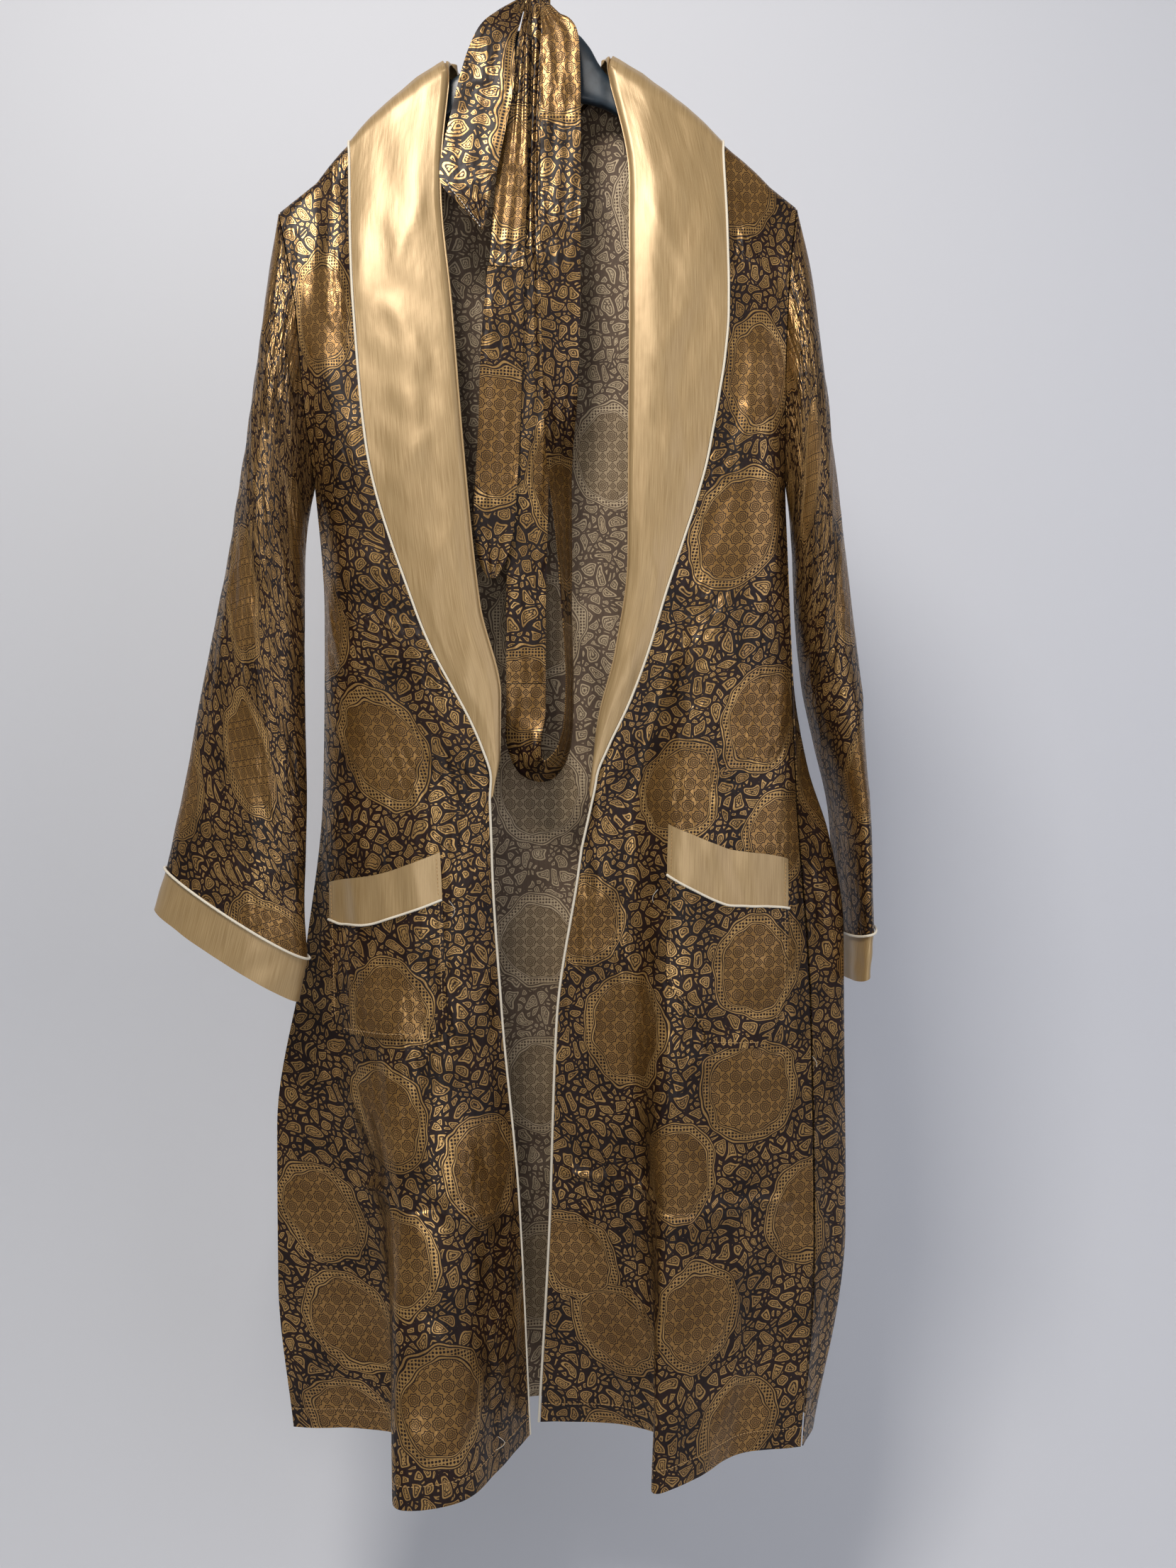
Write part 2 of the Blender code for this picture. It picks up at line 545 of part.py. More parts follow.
SLEEVE_COLUMNS = 16
SLEEVE_ROWS = 14
# How much of the armhole's own shape the first rings of a sleeve keep
ARMHOLE_FADE = (1.0, 0.5, 0.2)


def sleeve_rings(rows, count):
    """Rings of a sleeve between its table's rows."""
    row = stations(rows, count)
    outer = row[:, None, [0, 2, 1]]
    inner = row[:, None, [3, 5, 4]]
    turn = np.linspace(0, 2 * math.pi, SLEEVE_COLUMNS, endpoint=False)
    ring = (outer + inner) / 2 + (outer - inner) / 2 * np.cos(turn)[None, :, None]
    ring[:, :, 1] -= np.clip(np.sin(turn), 0, 1)[None] * row[:, 6:7]
    ring[:, :, 1] += np.clip(-np.sin(turn), 0, 1)[None] * row[:, 7:8]
    return ring


def armhole(front_line, back_line, ring, outward):
    """Ring just outside the armhole's edges, at the heights of a sleeve's first ring."""
    count = len(ring)
    height = ring[:, 2]
    on_front = follow(front_line, height)
    on_back = follow(back_line, height)
    is_front = (np.arange(count) <= count // 2)[:, None]
    place = np.where(is_front, on_front, on_back)
    top = height.max()
    drop = np.clip((top - height) / SHOULDER_ROUND, 0, 1)
    place[:, 1] *= RIDGE_START + (1 - RIDGE_START) * np.sqrt(1 - (1 - drop) ** 2)
    foot = count // 2
    place[foot] = (on_front[foot] + on_back[foot]) / 2
    return np.column_stack([place[:, 0] + outward * SEAM_GAP * 4, place[:, 1], height])


def sleeve(side, rows, cuff_end, lines, outward, materials):
    """Sleeve, cuff and the piping in the seam between them."""
    cloth, satin, cord = materials
    rings = sleeve_rings(rows, SLEEVE_ROWS)
    shift = armhole(*lines, rings[0], outward) - rings[0]
    for row, share in enumerate(ARMHOLE_FADE):
        rings[row] += shift * share
    wall(side + "_sleeve", rings, cloth, ring=True)
    cuff = sleeve_rings((rows[-1], cuff_end), 3)
    cuff[0] += unit(cuff[1] - cuff[0]) * SEAM_GAP
    wall(side + "_cuff", cuff, satin, ring=True)
    way = normals(rings, ring=True)[-1]
    way = way * np.sign(np.sum(way * (rings[-1] - rings[-1].mean(axis=0)), axis=1))[:, None]
    path = rings[-1] + way * (CLOTH / 2 + SEAM_GAP + PIPING_RADIUS + 0.3)
    tube(side + "_cuff_piping", path, PIPING_RADIUS, cord, closed=True, up=(0, 0, 1), sides=4)


def ribbon(name, rows, count, material):
    """Stretch of belt whose flat side may turn away from the front, as a wall three points wide."""
    row = stations(rows, count)
    middle = row[:, :3]
    heading = np.gradient(middle, axis=0)
    flat = unit(heading * np.array([1.0, 0.0, 1.0]))
    sideways = np.column_stack([-flat[:, 2], np.zeros(count), flat[:, 0]])
    turn = np.radians(row[:, 4:5])
    half = (np.cos(turn) * sideways + np.sin(turn) * np.array([[0.0, 1.0, 0.0]])) * row[:, 3:4]
    wall(name, np.stack([middle - half, middle, middle + half], axis=1), material, BELT_CLOTH)


def belt(material):
    """The belt's stretches from the hook's stem down, and its wrap round the stem."""
    ribbon("belt_left_fall", BELT_LEFT_FALL, 14, material)
    ribbon("belt_middle_fall", BELT_MIDDLE_FALL, 10, material)
    ribbon("belt_end", BELT_END, 11, material)
    ribbon("belt_back_strand", BELT_BACK_STRAND, 16, material)
    ribbon("belt_right_fall", BELT_RIGHT_FALL, 18, material)
    ribbon("belt_loop", BELT_LOOP, 18, material)
    width, depth, heights = BELT_WRAP
    turn = np.linspace(0, 2 * math.pi, 14, endpoint=False)
    rings = [np.column_stack([width * np.cos(turn), depth * np.sin(turn), np.full(14, height)])
             for height in heights]
    wall("belt_wrap", np.stack(rings), material, BELT_CLOTH, ring=True)


def hanger(plastic, steel):
    """Moulded hanger body with arched arms, and its wire hook with its stem in the body's top."""
    table = np.array(HANGER_ARMS, dtype=float)
    reach = np.concatenate([table[:, 0], np.linspace(-6, 6, 3), (-12, 12, -28, 28, -100, 100, -142, 142)])
    at = np.unique(reach)
    row = follow(table, at)
    turn = np.linspace(0, 2 * math.pi, HANGER_SIDES, endpoint=False) + math.pi / HANGER_SIDES
    square = [np.sign(wave) * np.abs(wave) ** HANGER_SQUARENESS for wave in (np.cos(turn), np.sin(turn))]
    x = np.repeat(at[:, None], HANGER_SIDES, axis=1)
    y = row[:, 2:3] * square[0][None]
    z = (row[:, 0:1] + row[:, 1:2]) / 2 + (row[:, 0:1] - row[:, 1:2]) / 2 * square[1][None]
    rod("hanger_body", np.stack([x, y, z], axis=2), plastic)
    radius = HOOK_INNER_RADIUS + HOOK_WIRE / 2
    turn = np.radians(np.linspace(-60, 200, 24))
    bend = np.column_stack([radius * np.cos(turn), np.zeros(24),
                            radius * np.sin(turn) - HOOK_INNER_RADIUS])
    stem = [(0, 0, STEM_FOOT), (0, 0, -66), (0, 0, -56), (3, 0, -46)]
    tube("hanger_hook", np.concatenate([stem, bend]), HOOK_WIRE / 2, steel, sides=8)


def build():
    """Every piece of the robe, its belt and its hanger."""
    cloth = paisley_satin("paisley satin")
    satin = gold_satin("gold satin")
    cord = cream_piping("cream piping")
    right = (RIGHT_SIDE, RIGHT_BASE, RIGHT_RIDGE, RIGHT_SHELF, RIGHT_COLLAR_LINE, RIGHT_EDGE)
    left = (LEFT_SIDE, LEFT_SWELL, LEFT_SHELF, LEFT_RIDGE, LEFT_BASE, LEFT_COLLAR_LINE, LEFT_EDGE)
    wall("back", back_panel(), cloth)
    right_grid, right_out = front("right_front", right, RIGHT_COUNTS, 1, cloth)
    left_grid, left_out = front("left_front", left, LEFT_COUNTS, -1, cloth)
    right_collar = collar_half("right_collar", right_grid, right_out, RIGHT_COLLAR_BACK, satin)
    left_collar = collar_half("left_collar", left_grid, left_out, LEFT_COLLAR_BACK, satin)
    edge_piping("right_edge_piping", right_grid, right_out, right_collar, cord)
    edge_piping("left_edge_piping", left_grid, left_out, left_collar, cord)
    pocket("right", right_grid, right_out, RIGHT_POCKET, (cloth, satin, cord))
    pocket("left", left_grid, left_out, LEFT_POCKET, (cloth, satin, cord))
    sleeve("right", RIGHT_SLEEVE, RIGHT_CUFF_END, (RIGHT_SIDE, BACK_RIGHT_SEAM), -1,
           (cloth, satin, cord))
    sleeve("left", LEFT_SLEEVE, LEFT_CUFF_END, (LEFT_SIDE, BACK_LEFT_SEAM), 1,
           (cloth, satin, cord))
    belt(cloth)
    hanger(moulded_plastic("moulded plastic"), steel_wire("steel wire"))


build()
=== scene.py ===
# %% [markdown]
# A paisley satin dressing gown on its hanger
#
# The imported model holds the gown's true form as plain closed walls: fronts, back, sleeves, shawl collar,
# cuffs, pockets, belt and hanger. This script dresses that fixed frame. Every cloth piece becomes a thin
# shell on the same fold lines, with finer folds, its own cloth coordinates, a procedural print and its
# sewing. All shapes below are worked out in millimetres and become metres when they enter a mesh.

# %% Load the frame
import math

import bpy
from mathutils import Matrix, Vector
import numpy as np


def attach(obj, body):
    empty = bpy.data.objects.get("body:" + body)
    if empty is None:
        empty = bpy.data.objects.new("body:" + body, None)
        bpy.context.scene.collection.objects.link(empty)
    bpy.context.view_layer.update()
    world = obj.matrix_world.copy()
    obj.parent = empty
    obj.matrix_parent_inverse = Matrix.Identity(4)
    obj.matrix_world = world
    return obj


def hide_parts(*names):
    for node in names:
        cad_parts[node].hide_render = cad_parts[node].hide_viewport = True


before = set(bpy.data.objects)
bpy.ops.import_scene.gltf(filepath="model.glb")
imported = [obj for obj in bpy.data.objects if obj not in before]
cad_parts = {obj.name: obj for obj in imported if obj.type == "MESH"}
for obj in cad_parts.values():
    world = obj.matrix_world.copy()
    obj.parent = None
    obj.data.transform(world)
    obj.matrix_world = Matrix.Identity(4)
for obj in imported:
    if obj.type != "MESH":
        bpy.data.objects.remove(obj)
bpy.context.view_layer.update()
BODY = "root"
MM = 0.001
print("frame nodes:", len(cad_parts))

# %% [markdown]
# The camera stands where the photographer stood: straight in front of the gown at chest height, a little
# over a metre away, with a wide lens. Being so close is what makes the hem and the hook look smaller than
# the chest. A camera set by distance and angle reproduces that perspective; a crop would not.

# %% The camera
CAMERA_PLACE = (0.047, -1.055, -0.7535)
HALF_HEIGHT_PX = 1106
FOCAL_PX = 1671
camera_data = bpy.data.cameras.new("camera")
camera_data.sensor_fit = "VERTICAL"
camera_data.angle = 2 * math.atan(HALF_HEIGHT_PX / FOCAL_PX)
camera = bpy.data.objects.new("camera", camera_data)
camera.location = CAMERA_PLACE
camera.rotation_euler = (math.radians(90), 0, 0)
bpy.context.scene.collection.objects.link(camera)
bpy.context.scene.camera = camera
print("camera angle", round(math.degrees(camera_data.angle), 1))

# %% [markdown]
# Satin lives on soft light: one window-like source from the upper left draws long highlights down the folds,
# a weak one above the camera reaches the inside of the back, a wide one fills the right side, one stands
# behind for views from there, and a pale room lights the shadows.

# %% Lights
def srgb(code, alpha=1.0):
    """Linear colour from an sRGB hex value: each channel over 255, to the power 2.4 above the toe."""
    channel = np.array([int(code[k:k + 2], 16) for k in (1, 3, 5)]) / 255
    linear = np.where(channel <= 0.04045, channel / 12.92, ((channel + 0.055) / 1.055) ** 2.4)
    return (*linear.tolist(), alpha)


LAMPS = (
    ("key", (-0.45, -1.25, 0.75), (0.0, 0.0, -0.4), 0.6, 28, "#fff8f0"),
    ("front", (0.05, -1.9, -0.8), (0.0, 0.0, -0.9), 0.6, 4.5, "#ffffff"),
    ("fill", (1.6, -1.5, -0.3), (0.2, 0.4, -0.8), 1.6, 11, "#f4f4ff"),
    ("back", (0.9, 1.7, 0.5), (0.0, 0.1, -0.6), 1.2, 12, "#fff8f0"))
for lamp_name, place, aim, size, power, tint in LAMPS:
    lamp = bpy.data.lights.new(lamp_name, "AREA")
    lamp.size = size
    lamp.energy = power
    lamp.color = srgb(tint)[:3]
    lamp_object = bpy.data.objects.new(lamp_name, lamp)
    lamp_object.location = place
    heading = Vector(aim) - Vector(place)
    lamp_object.rotation_euler = heading.to_track_quat("-Z", "Y").to_euler()
    bpy.context.scene.collection.objects.link(lamp_object)

world = bpy.data.worlds.new("pale room")
world.use_nodes = True
world.node_tree.nodes["Background"].inputs["Color"].default_value = srgb("#e4e5ea")
world.node_tree.nodes["Background"].inputs["Strength"].default_value = 0.27
bpy.context.scene.world = world
bpy.context.scene.view_settings.view_transform = "Standard"
print("lamps:", len(LAMPS))

# %% [markdown]
# Every mesh below is filled in one go from arrays. A shell is a grid of points with a thickness: the face
# side and the wrong side of the cloth are two sheets, joined by a rim, and each side has its own
# material. Each corner of each face also carries two vectors in millimetres: where it lies on the flat
# cloth, and where it lies from the middle of the nearest round medallion of the print. The second is
# chosen face by face, so that no face is torn between two medallions.

# %% Shells from grids
def unit(vectors):
    """Vectors along the last axis, each divided by its length."""
    return vectors / np.maximum(np.linalg.norm(vectors, axis=-1, keepdims=True), 1e-9)


def normals(grid, ring=False):
    """Unit normals: the change down the rows crossed with the change along the columns."""
    if ring:
        along = np.roll(grid, -1, axis=1) - np.roll(grid, 1, axis=1)
    else:
        along = np.gradient(grid, axis=1)
    return unit(np.cross(np.gradient(grid, axis=0), along))


# Faces that meet at more than this angle, in degrees, keep a sharp edge between them
SHARP_ANGLE = 70


def make(name, points, faces, materials, slots=None):
    """Object at the origin from points in mm and faces of equal length."""
    mesh = bpy.data.meshes.new(name)
    faces = np.asarray(faces)
    sides = faces.shape[1]
    mesh.vertices.add(len(points))
    mesh.vertices.foreach_set("co", (np.asarray(points, dtype=np.float32) * MM).ravel())
    mesh.loops.add(faces.size)
    mesh.loops.foreach_set("vertex_index", faces.astype(np.int32).ravel())
    mesh.polygons.add(len(faces))
    mesh.polygons.foreach_set("loop_start", np.arange(0, faces.size, sides, dtype=np.int32))
    mesh.polygons.foreach_set("loop_total", np.full(len(faces), sides, dtype=np.int32))
    for material in materials:
        mesh.materials.append(material)
    if slots is not None:
        mesh.polygons.foreach_set("material_index", np.asarray(slots, dtype=np.int32))
    mesh.update(calc_edges=True)
    mesh.validate()
    mesh.shade_smooth()
    mesh.set_sharp_from_angle(angle=math.radians(SHARP_ANGLE))
    thing = bpy.data.objects.new(name, mesh)
    bpy.context.scene.collection.objects.link(thing)
    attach(thing, BODY)
    return thing


def corners(mesh, name, values):
    """A vector for each corner of each face, under a name that materials read."""
    layer = mesh.attributes.new(name, "FLOAT_VECTOR", "CORNER")
    layer.data.foreach_set("vector", np.asarray(values, dtype=np.float32).ravel())


# The plain repeat of the print, in mm: steps across and down, and a medallion's half sizes
PRINT_PITCH = (128.0, 152.0)
PRINT_HALF = (50.0, 54.0)


def print_spots(low, high):
    """Medallions of the plain half drop repeat over a stretch of cloth: middle and half sizes, in mm."""
    across = np.arange(math.floor(low[0] / PRINT_PITCH[0]) - 1, math.ceil(high[0] / PRINT_PITCH[0]) + 2)
    down = np.arange(math.floor(low[1] / PRINT_PITCH[1]) - 1, math.ceil(high[1] / PRINT_PITCH[1]) + 2)
    i, j = np.meshgrid(across, down)
    middle = np.stack([i * PRINT_PITCH[0], (j + (i % 2) / 2) * PRINT_PITCH[1]], axis=-1).reshape(-1, 2)
    return np.column_stack([middle, np.full(len(middle), PRINT_HALF[0]), np.full(len(middle), PRINT_HALF[1])])


# Radius that every medallion has in its own coordinates, whatever its size on the cloth
MEDALLION_RADIUS = 50.0


def shell(name, middle, cloth, facing, thickness, materials, ring=False, spots=None):
    """Closed shell: the middle surface moved out and in by half the thickness, with a rim between."""
    rows, columns = middle.shape[:2]
    wide = columns + ring
    number = np.arange(rows * wide).reshape(rows, wide)
    half = rows * wide
    face = np.stack([number[:-1, :-1], number[1:, :-1], number[1:, 1:], number[:-1, 1:]], -1).reshape(-1, 4)
    paths = [number[-1], number[0, ::-1]]
    if not ring:
        paths += [number[:, 0], number[::-1, -1]]
    rims = [np.stack([p[1:], p[:-1], p[:-1] + half, p[1:] + half], -1) for p in paths]
    faces = np.concatenate([face, face[:, ::-1] + half, *rims])
    slots = np.zeros(len(faces), dtype=int)
    slots[len(face):2 * len(face)] = len(materials) - 1
    if facing < 0:
        faces = faces[:, ::-1]
    out = normals(middle, ring) * facing * thickness / 2
    points = np.concatenate([(middle + out).reshape(-1, 3), (middle - out).reshape(-1, 3)])
    side, cell = np.divmod(faces, half)
    row, column = np.divmod(cell, wide)
    vertex = side * rows * columns + row * columns + column % columns
    thing = make(name, points, vertex, materials, slots)
    place = np.concatenate([cloth.reshape(-1, 2)[cell], np.zeros((*cell.shape, 1))], axis=-1)
    corners(thing.data, "cloth", place)
    if spots is None:
        spots = print_spots(cloth.reshape(-1, 2).min(axis=0), cloth.reshape(-1, 2).max(axis=0))
    spots = np.asarray(spots, dtype=float)
    centre = place[..., :2].mean(axis=1)
    reach = (centre[:, None] - spots[None, :, :2]) / spots[None, :, 2:]
    near = spots[np.argmin((reach ** 2).sum(axis=2), axis=1)]
    offset = (place[..., :2] - near[:, None, :2]) / near[:, None, 2:] * MEDALLION_RADIUS
    corners(thing.data, "medallion", np.concatenate([offset, place[..., 2:]], axis=-1))
    return thing


def declare(nodes):
    """Hides the frame's parts that the cloth piece stands in for."""
    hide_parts(*nodes)


print("plain repeat of the print:", *PRINT_PITCH, "mm")

# %% [markdown]
# The gown's form is a set of fold lines. Each line is a short table of heights, with its place sideways and
# in depth there, in millimetres from the hook's inside top. A curve through a table's rows never overshoots
# between two of them, so a fold line stays as plain as its table. The tables are the same ones that the
# packed walls were built from; sampling them more finely is what keeps the satin on its frame.

# %% Fold lines of the body
# Fold lines of the wearer's right front: z, x, y
RIGHT_SIDE = (
    (-246, -226, -10), (-330, -209, -21), (-410, -202, -20), (-490, -195, -4), (-600, -189, 8),
    (-760, -191, 11), (-900, -206, 9), (-1060, -231, 5), (-1200, -230, 5), (-1330, -217, 8))
RIGHT_BASE = (
    (-220, -193, -11), (-400, -188, -28), (-560, -178, -14), (-780, -181, -6), (-980, -178, -8),
    (-1120, -140, -12), (-1330, -116, -8))
RIGHT_RIDGE = (
    (-206, -182, -12), (-400, -176, -33), (-560, -160, -30), (-780, -130, -36), (-960, -118, -46),
    (-1120, -106, -74), (-1330, -101, -115))
RIGHT_SHELF = (
    (-194, -172, -12), (-400, -164, -33), (-560, -140, -34), (-700, -98, -38), (-800, -80, -44),
    (-960, -72, -48), (-1120, -60, -72), (-1330, -54, -103))
RIGHT_COLLAR_LINE = (
    (-184, -162, -12), (-340, -154, -31), (-460, -143, -34), (-600, -101, -37), (-690, -64, -40),
    (-730, -51, -41), (-762, -43, -41), (-800, -48, -43), (-960, -46, -42), (-1120, -34, -46),
    (-1330, -26, -54))
RIGHT_EDGE = (
    (-122, -76, -12), (-230, -83, -26), (-340, -73, -31), (-460, -63, -34), (-600, -48, -36),
    (-680, -30, -37), (-730, -30, -38), (-762, -35, -39), (-800, -37, -40), (-950, -29, -30),
    (-1120, -14, -22), (-1330, -5, -6))

# Fold lines of the wearer's left front: z, x, y
LEFT_SIDE = (
    (-242, 231, -10), (-320, 222, -21), (-410, 219, -22), (-490, 221, -8), (-600, 223, -14),
    (-760, 228, -20), (-950, 240, -23), (-1150, 243, -24), (-1330, 232, -24))
LEFT_SWELL = (
    (-224, 208, -11), (-400, 208, -28), (-600, 212, -26), (-780, 219, -30), (-980, 219, -34),
    (-1150, 195, -38), (-1330, 172, -38))
LEFT_SHELF = (
    (-212, 196, -12), (-400, 197, -33), (-600, 186, -36), (-780, 168, -43), (-980, 165, -48),
    (-1150, 150, -56), (-1330, 136, -72))
LEFT_RIDGE = (
    (-202, 185, -12), (-400, 187, -34), (-600, 152, -38), (-780, 116, -46), (-980, 113, -54),
    (-1150, 110, -68), (-1330, 103, -93))
LEFT_BASE = (
    (-193, 174, -12), (-400, 177, -33), (-600, 130, -33), (-780, 86, -28), (-980, 84, -26),
    (-1150, 100, -20), (-1330, 112, -6))
LEFT_COLLAR_LINE = (
    (-184, 164, -12), (-340, 167, -31), (-460, 151, -33), (-600, 109, -35), (-690, 82, -36),
    (-730, 68, -35), (-762, 57, -34), (-800, 57, -32), (-980, 46, -16), (-1150, 44, 0),
    (-1330, 50, 16))
LEFT_EDGE = (
    (-118, 64, -12), (-230, 85, -26), (-340, 85, -31), (-460, 84, -33), (-560, 83, -34),
    (-640, 72, -34), (-700, 57, -33), (-762, 49, -32), (-830, 40, -28), (-960, 21, -18),
    (-1150, 14, 2), (-1330, 4, 16))

# Shoulder seams and the back of the neck: x, z, and y of the back's edge
TOP_EDGE = (
    (-226, -246, 1.2), (-193, -220, 1.2), (-182, -206, 1.2), (-172, -194, 1.2), (-162, -184, 1.2),
    (-142, -167, 1.2), (-120, -151.6, 1.2), (-98, -137, 1.4), (-80, -124.6, 3), (-76, -122, 7),
    (-60.5, -131, 21), (-41, -143, 31), (-21.5, -151, 37.5), (0, -154, 40), (16, -152, 38.5),
    (33.5, -145, 33), (51, -131, 23), (64, -118, 9), (69, -121, 3), (89, -134, 1.4), (114, -149, 1.2),
    (140, -165.5, 1.2), (164, -184, 1.2), (174, -193, 1.2), (185, -202, 1.2), (196, -212, 1.2),
    (208, -224, 1.2), (231, -242, 1.2))
# How far down a panel its top edge's own shape reaches, in mm
TOP_REACH = 45

# Fold lines of the back, from the wearer's right seam to the left one: z, x, y
BACK_RIGHT_SEAM = (
    (-246, -226, 10), (-330, -209, 22), (-410, -202, 20), (-490, -195, 0), (-600, -189, 11.5),
    (-760, -191, 14.5), (-900, -206, 12.5), (-1060, -231, 8), (-1200, -230, 8), (-1330, -217, 11))
BACK_RIGHT_TURN = (
    (-232, -208, 12), (-420, -194, 30), (-560, -186, 28), (-900, -198, 34), (-1100, -218, 32),
    (-1330, -207, 34))
BACK_RIGHT_FOLD = (
    (-190, -166, 13), (-420, -152, 38), (-900, -150, 50), (-1330, -152, 74))
BACK_RIGHT_VALLEY = (
    (-124.6, -80, 14), (-420, -84, 40), (-900, -78, 40), (-1330, -84, 34))
BACK_CENTRE = (
    (-154, -2, 40), (-220, -2, 42), (-420, 2, 42), (-900, 6, 52), (-1330, 6, 62))
BACK_LEFT_VALLEY = (
    (-121, 69, 14), (-420, 88, 40), (-900, 92, 40), (-1330, 84, 38))
BACK_LEFT_FOLD = (
    (-188, 168, 13), (-420, 166, 38), (-900, 176, 52), (-1330, 164, 76))
BACK_LEFT_TURN = (
    (-230, 214, 12), (-420, 216, 24), (-560, 224, 22), (-660, 230, 16), (-740, 244, 10),
    (-800, 262, 4), (-880, 274, 1), (-1150, 276, 2), (-1330, 250, 16))
BACK_LEFT_SEAM = (
    (-242, 231, 10), (-320, 222, 22), (-410, 219, 20), (-490, 221, -5), (-600, 224.5, -12),
    (-760, 230, -19), (-950, 242, -22), (-1150, 245, -23), (-1330, 234, -23))
print("points along the top edge:", len(TOP_EDGE))

# %% [markdown]
# Four functions turn tables into surfaces: one follows a table by its key, one spaces rows evenly, and two
# make columns denser or draw them across the fold lines. The frame's walls have 28 rows of cells. Here
# nearly every row is cut in eight and each column in five, which gives cells of about five millimetres.

# %% Curves through tables
ROWS_FINE = 8
COLUMNS_FINE = 5


def follow(rows, at):
    """Smooth curve through a table's rows: cubic between rows, with slopes that are the harmonic mean of
    the steps on both sides, or zero where the steps turn."""
    table = np.array(rows, dtype=float)
    if table[0, 0] > table[-1, 0]:
        table = table[::-1]
    key = table[:, 0]
    value = table[:, 1:]
    step = np.diff(key)[:, None]
    slope = np.diff(value, axis=0) / step
    same_way = slope[:-1] * slope[1:] > 0
    total = np.where(same_way, slope[:-1] + slope[1:], 1.0)
    inner = np.where(same_way, 2 * slope[:-1] * slope[1:] / total, 0.0)
    tangent = np.vstack([slope[:1], inner, slope[-1:]])
    at = np.clip(at, key[0], key[-1])
    low = np.clip(np.searchsorted(key, at, side="right") - 1, 0, len(key) - 2)
    width = step[low]
    t = ((at - key[low]) / width[:, 0])[:, None]
    return ((1 + 2 * t) * (1 - t) ** 2 * value[low] + t * (1 - t) ** 2 * width * tangent[low]
            + t ** 2 * (3 - 2 * t) * value[low + 1] + t ** 2 * (t - 1) * width * tangent[low + 1])


def stations(rows, count):
    """Evenly spaced rows between the rows of a table that has no key of its own."""
    keyed = [(index, *row) for index, row in enumerate(rows)]
    return follow(keyed, np.linspace(0, len(rows) - 1, count))


def refine(points, factor):
    """Columns of a point grid made denser by a whole factor, on smooth curves through the given ones."""
    rows, columns = points.shape[:2]
    keyed = np.column_stack([np.arange(columns), points.transpose(1, 0, 2).reshape(columns, -1)])
    dense = follow(keyed, np.arange((columns - 1) * factor + 1) / factor)
    return dense.reshape(-1, rows, 3).transpose(1, 0, 2)


def across(knots, counts):
    """Columns across each row of knots: cubic pieces whose tangents come from the knots' own chords."""
    chord = np.diff(knots, axis=1)
    length = np.linalg.norm(chord, axis=2, keepdims=True)
    way = chord / length
    middle = ((way[:, :-1] * length[:, 1:] + way[:, 1:] * length[:, :-1])
              / (length[:, 1:] + length[:, :-1]))
    tangent = np.concatenate([way[:, :1], middle, way[:, -1:]], axis=1)
    columns = []
    for k, count in enumerate(counts):
        last = k == len(counts) - 1
        for t in np.linspace(0, 1, count * COLUMNS_FINE + 1)[:count * COLUMNS_FINE + last]:
            columns.append(
                (1 + 2 * t) * (1 - t) ** 2 * knots[:, k] + t * (1 - t) ** 2 * length[:, k] * tangent[:, k]
                + t ** 2 * (3 - 2 * t) * knots[:, k + 1]
                + t ** 2 * (t - 1) * length[:, k] * tangent[:, k + 1])
    return np.stack(columns, axis=1)


print("cells cut", ROWS_FINE, "down and", COLUMNS_FINE, "across")

# %% [markdown]
# A body panel is woven from its fold lines. Going down, rows sit close together over the shoulder and then
# evenly to the hem, and four times closer where the packing crease crosses the skirt, because that crease
# is only a few millimetres wide. Going across, a curve passes through the fold lines of each row. The
# shoulder is a rounded ridge, and the top edge keeps to the shoulder seams and the back of the neck.

# %% Body panels from fold lines
# Height that the shares of the way down start from, in mm, the shares of the first rows, and how many
# even rows follow
SHOULDER_LEVEL = -180
SHOULDER_ROWS = (0.0, 0.002, 0.007, 0.020, 0.045)
EVEN_ROWS = 24
# Height of the shoulder's rounded ridge in mm, its depth at the very top as a share, and the most depth
# in mm that a fold line has at its top if it runs over the ridge
SHOULDER_ROUND = 12
RIDGE_START = 0.09
NECK_DEPTH = 20
# Power by which the shoulder's slope dies out in the rows below
SLOPE_FADE = 1.6
# The packing crease runs between these of the frame's rows, and cells are this many times shorter there
PACKING_ROWS = (22, 24)
PACKING_FINE = 4


def fine_rows():
    """Shares of the way down a panel: the frame's own rows, each cut into eight, or into more where the
    packing crease runs."""
    even = np.linspace(SHOULDER_ROWS[-1], 1, EVEN_ROWS + 1)[1:]
    own = np.concatenate([SHOULDER_ROWS, even])
    low, high = PACKING_ROWS
    closer = ROWS_FINE * PACKING_FINE
    at = [np.arange(low * ROWS_FINE) / ROWS_FINE, np.arange(low * closer, high * closer) / closer,
          np.arange(high * ROWS_FINE, (len(own) - 1) * ROWS_FINE + 1) / ROWS_FINE]
    return np.interp(np.concatenate(at), np.arange(len(own)), own)


def panel(lines, counts):
    """Middle surface of a body panel in mm. The shoulder's ridge is a quarter of an ellipse: depth times
    the square root of one minus the square of what is left of the ridge's height."""
    share = fine_rows()
    knots = []
    for line in lines:
        top = line[0][0]
        hem = line[-1][0]
        height = (SHOULDER_LEVEL + (hem - SHOULDER_LEVEL) * share
                  + (top - SHOULDER_LEVEL) * (1 - share) ** SLOPE_FADE)
        place = follow(line, height)
        if abs(line[0][2]) < NECK_DEPTH:
            drop = np.clip((top - height) / SHOULDER_ROUND, 0, 1)
            place[:, 1] *= RIDGE_START + (1 - RIDGE_START) * np.sqrt(1 - (1 - drop) ** 2)
        knots.append(np.column_stack([place, height]))
    return across(np.stack(knots, axis=1), counts)


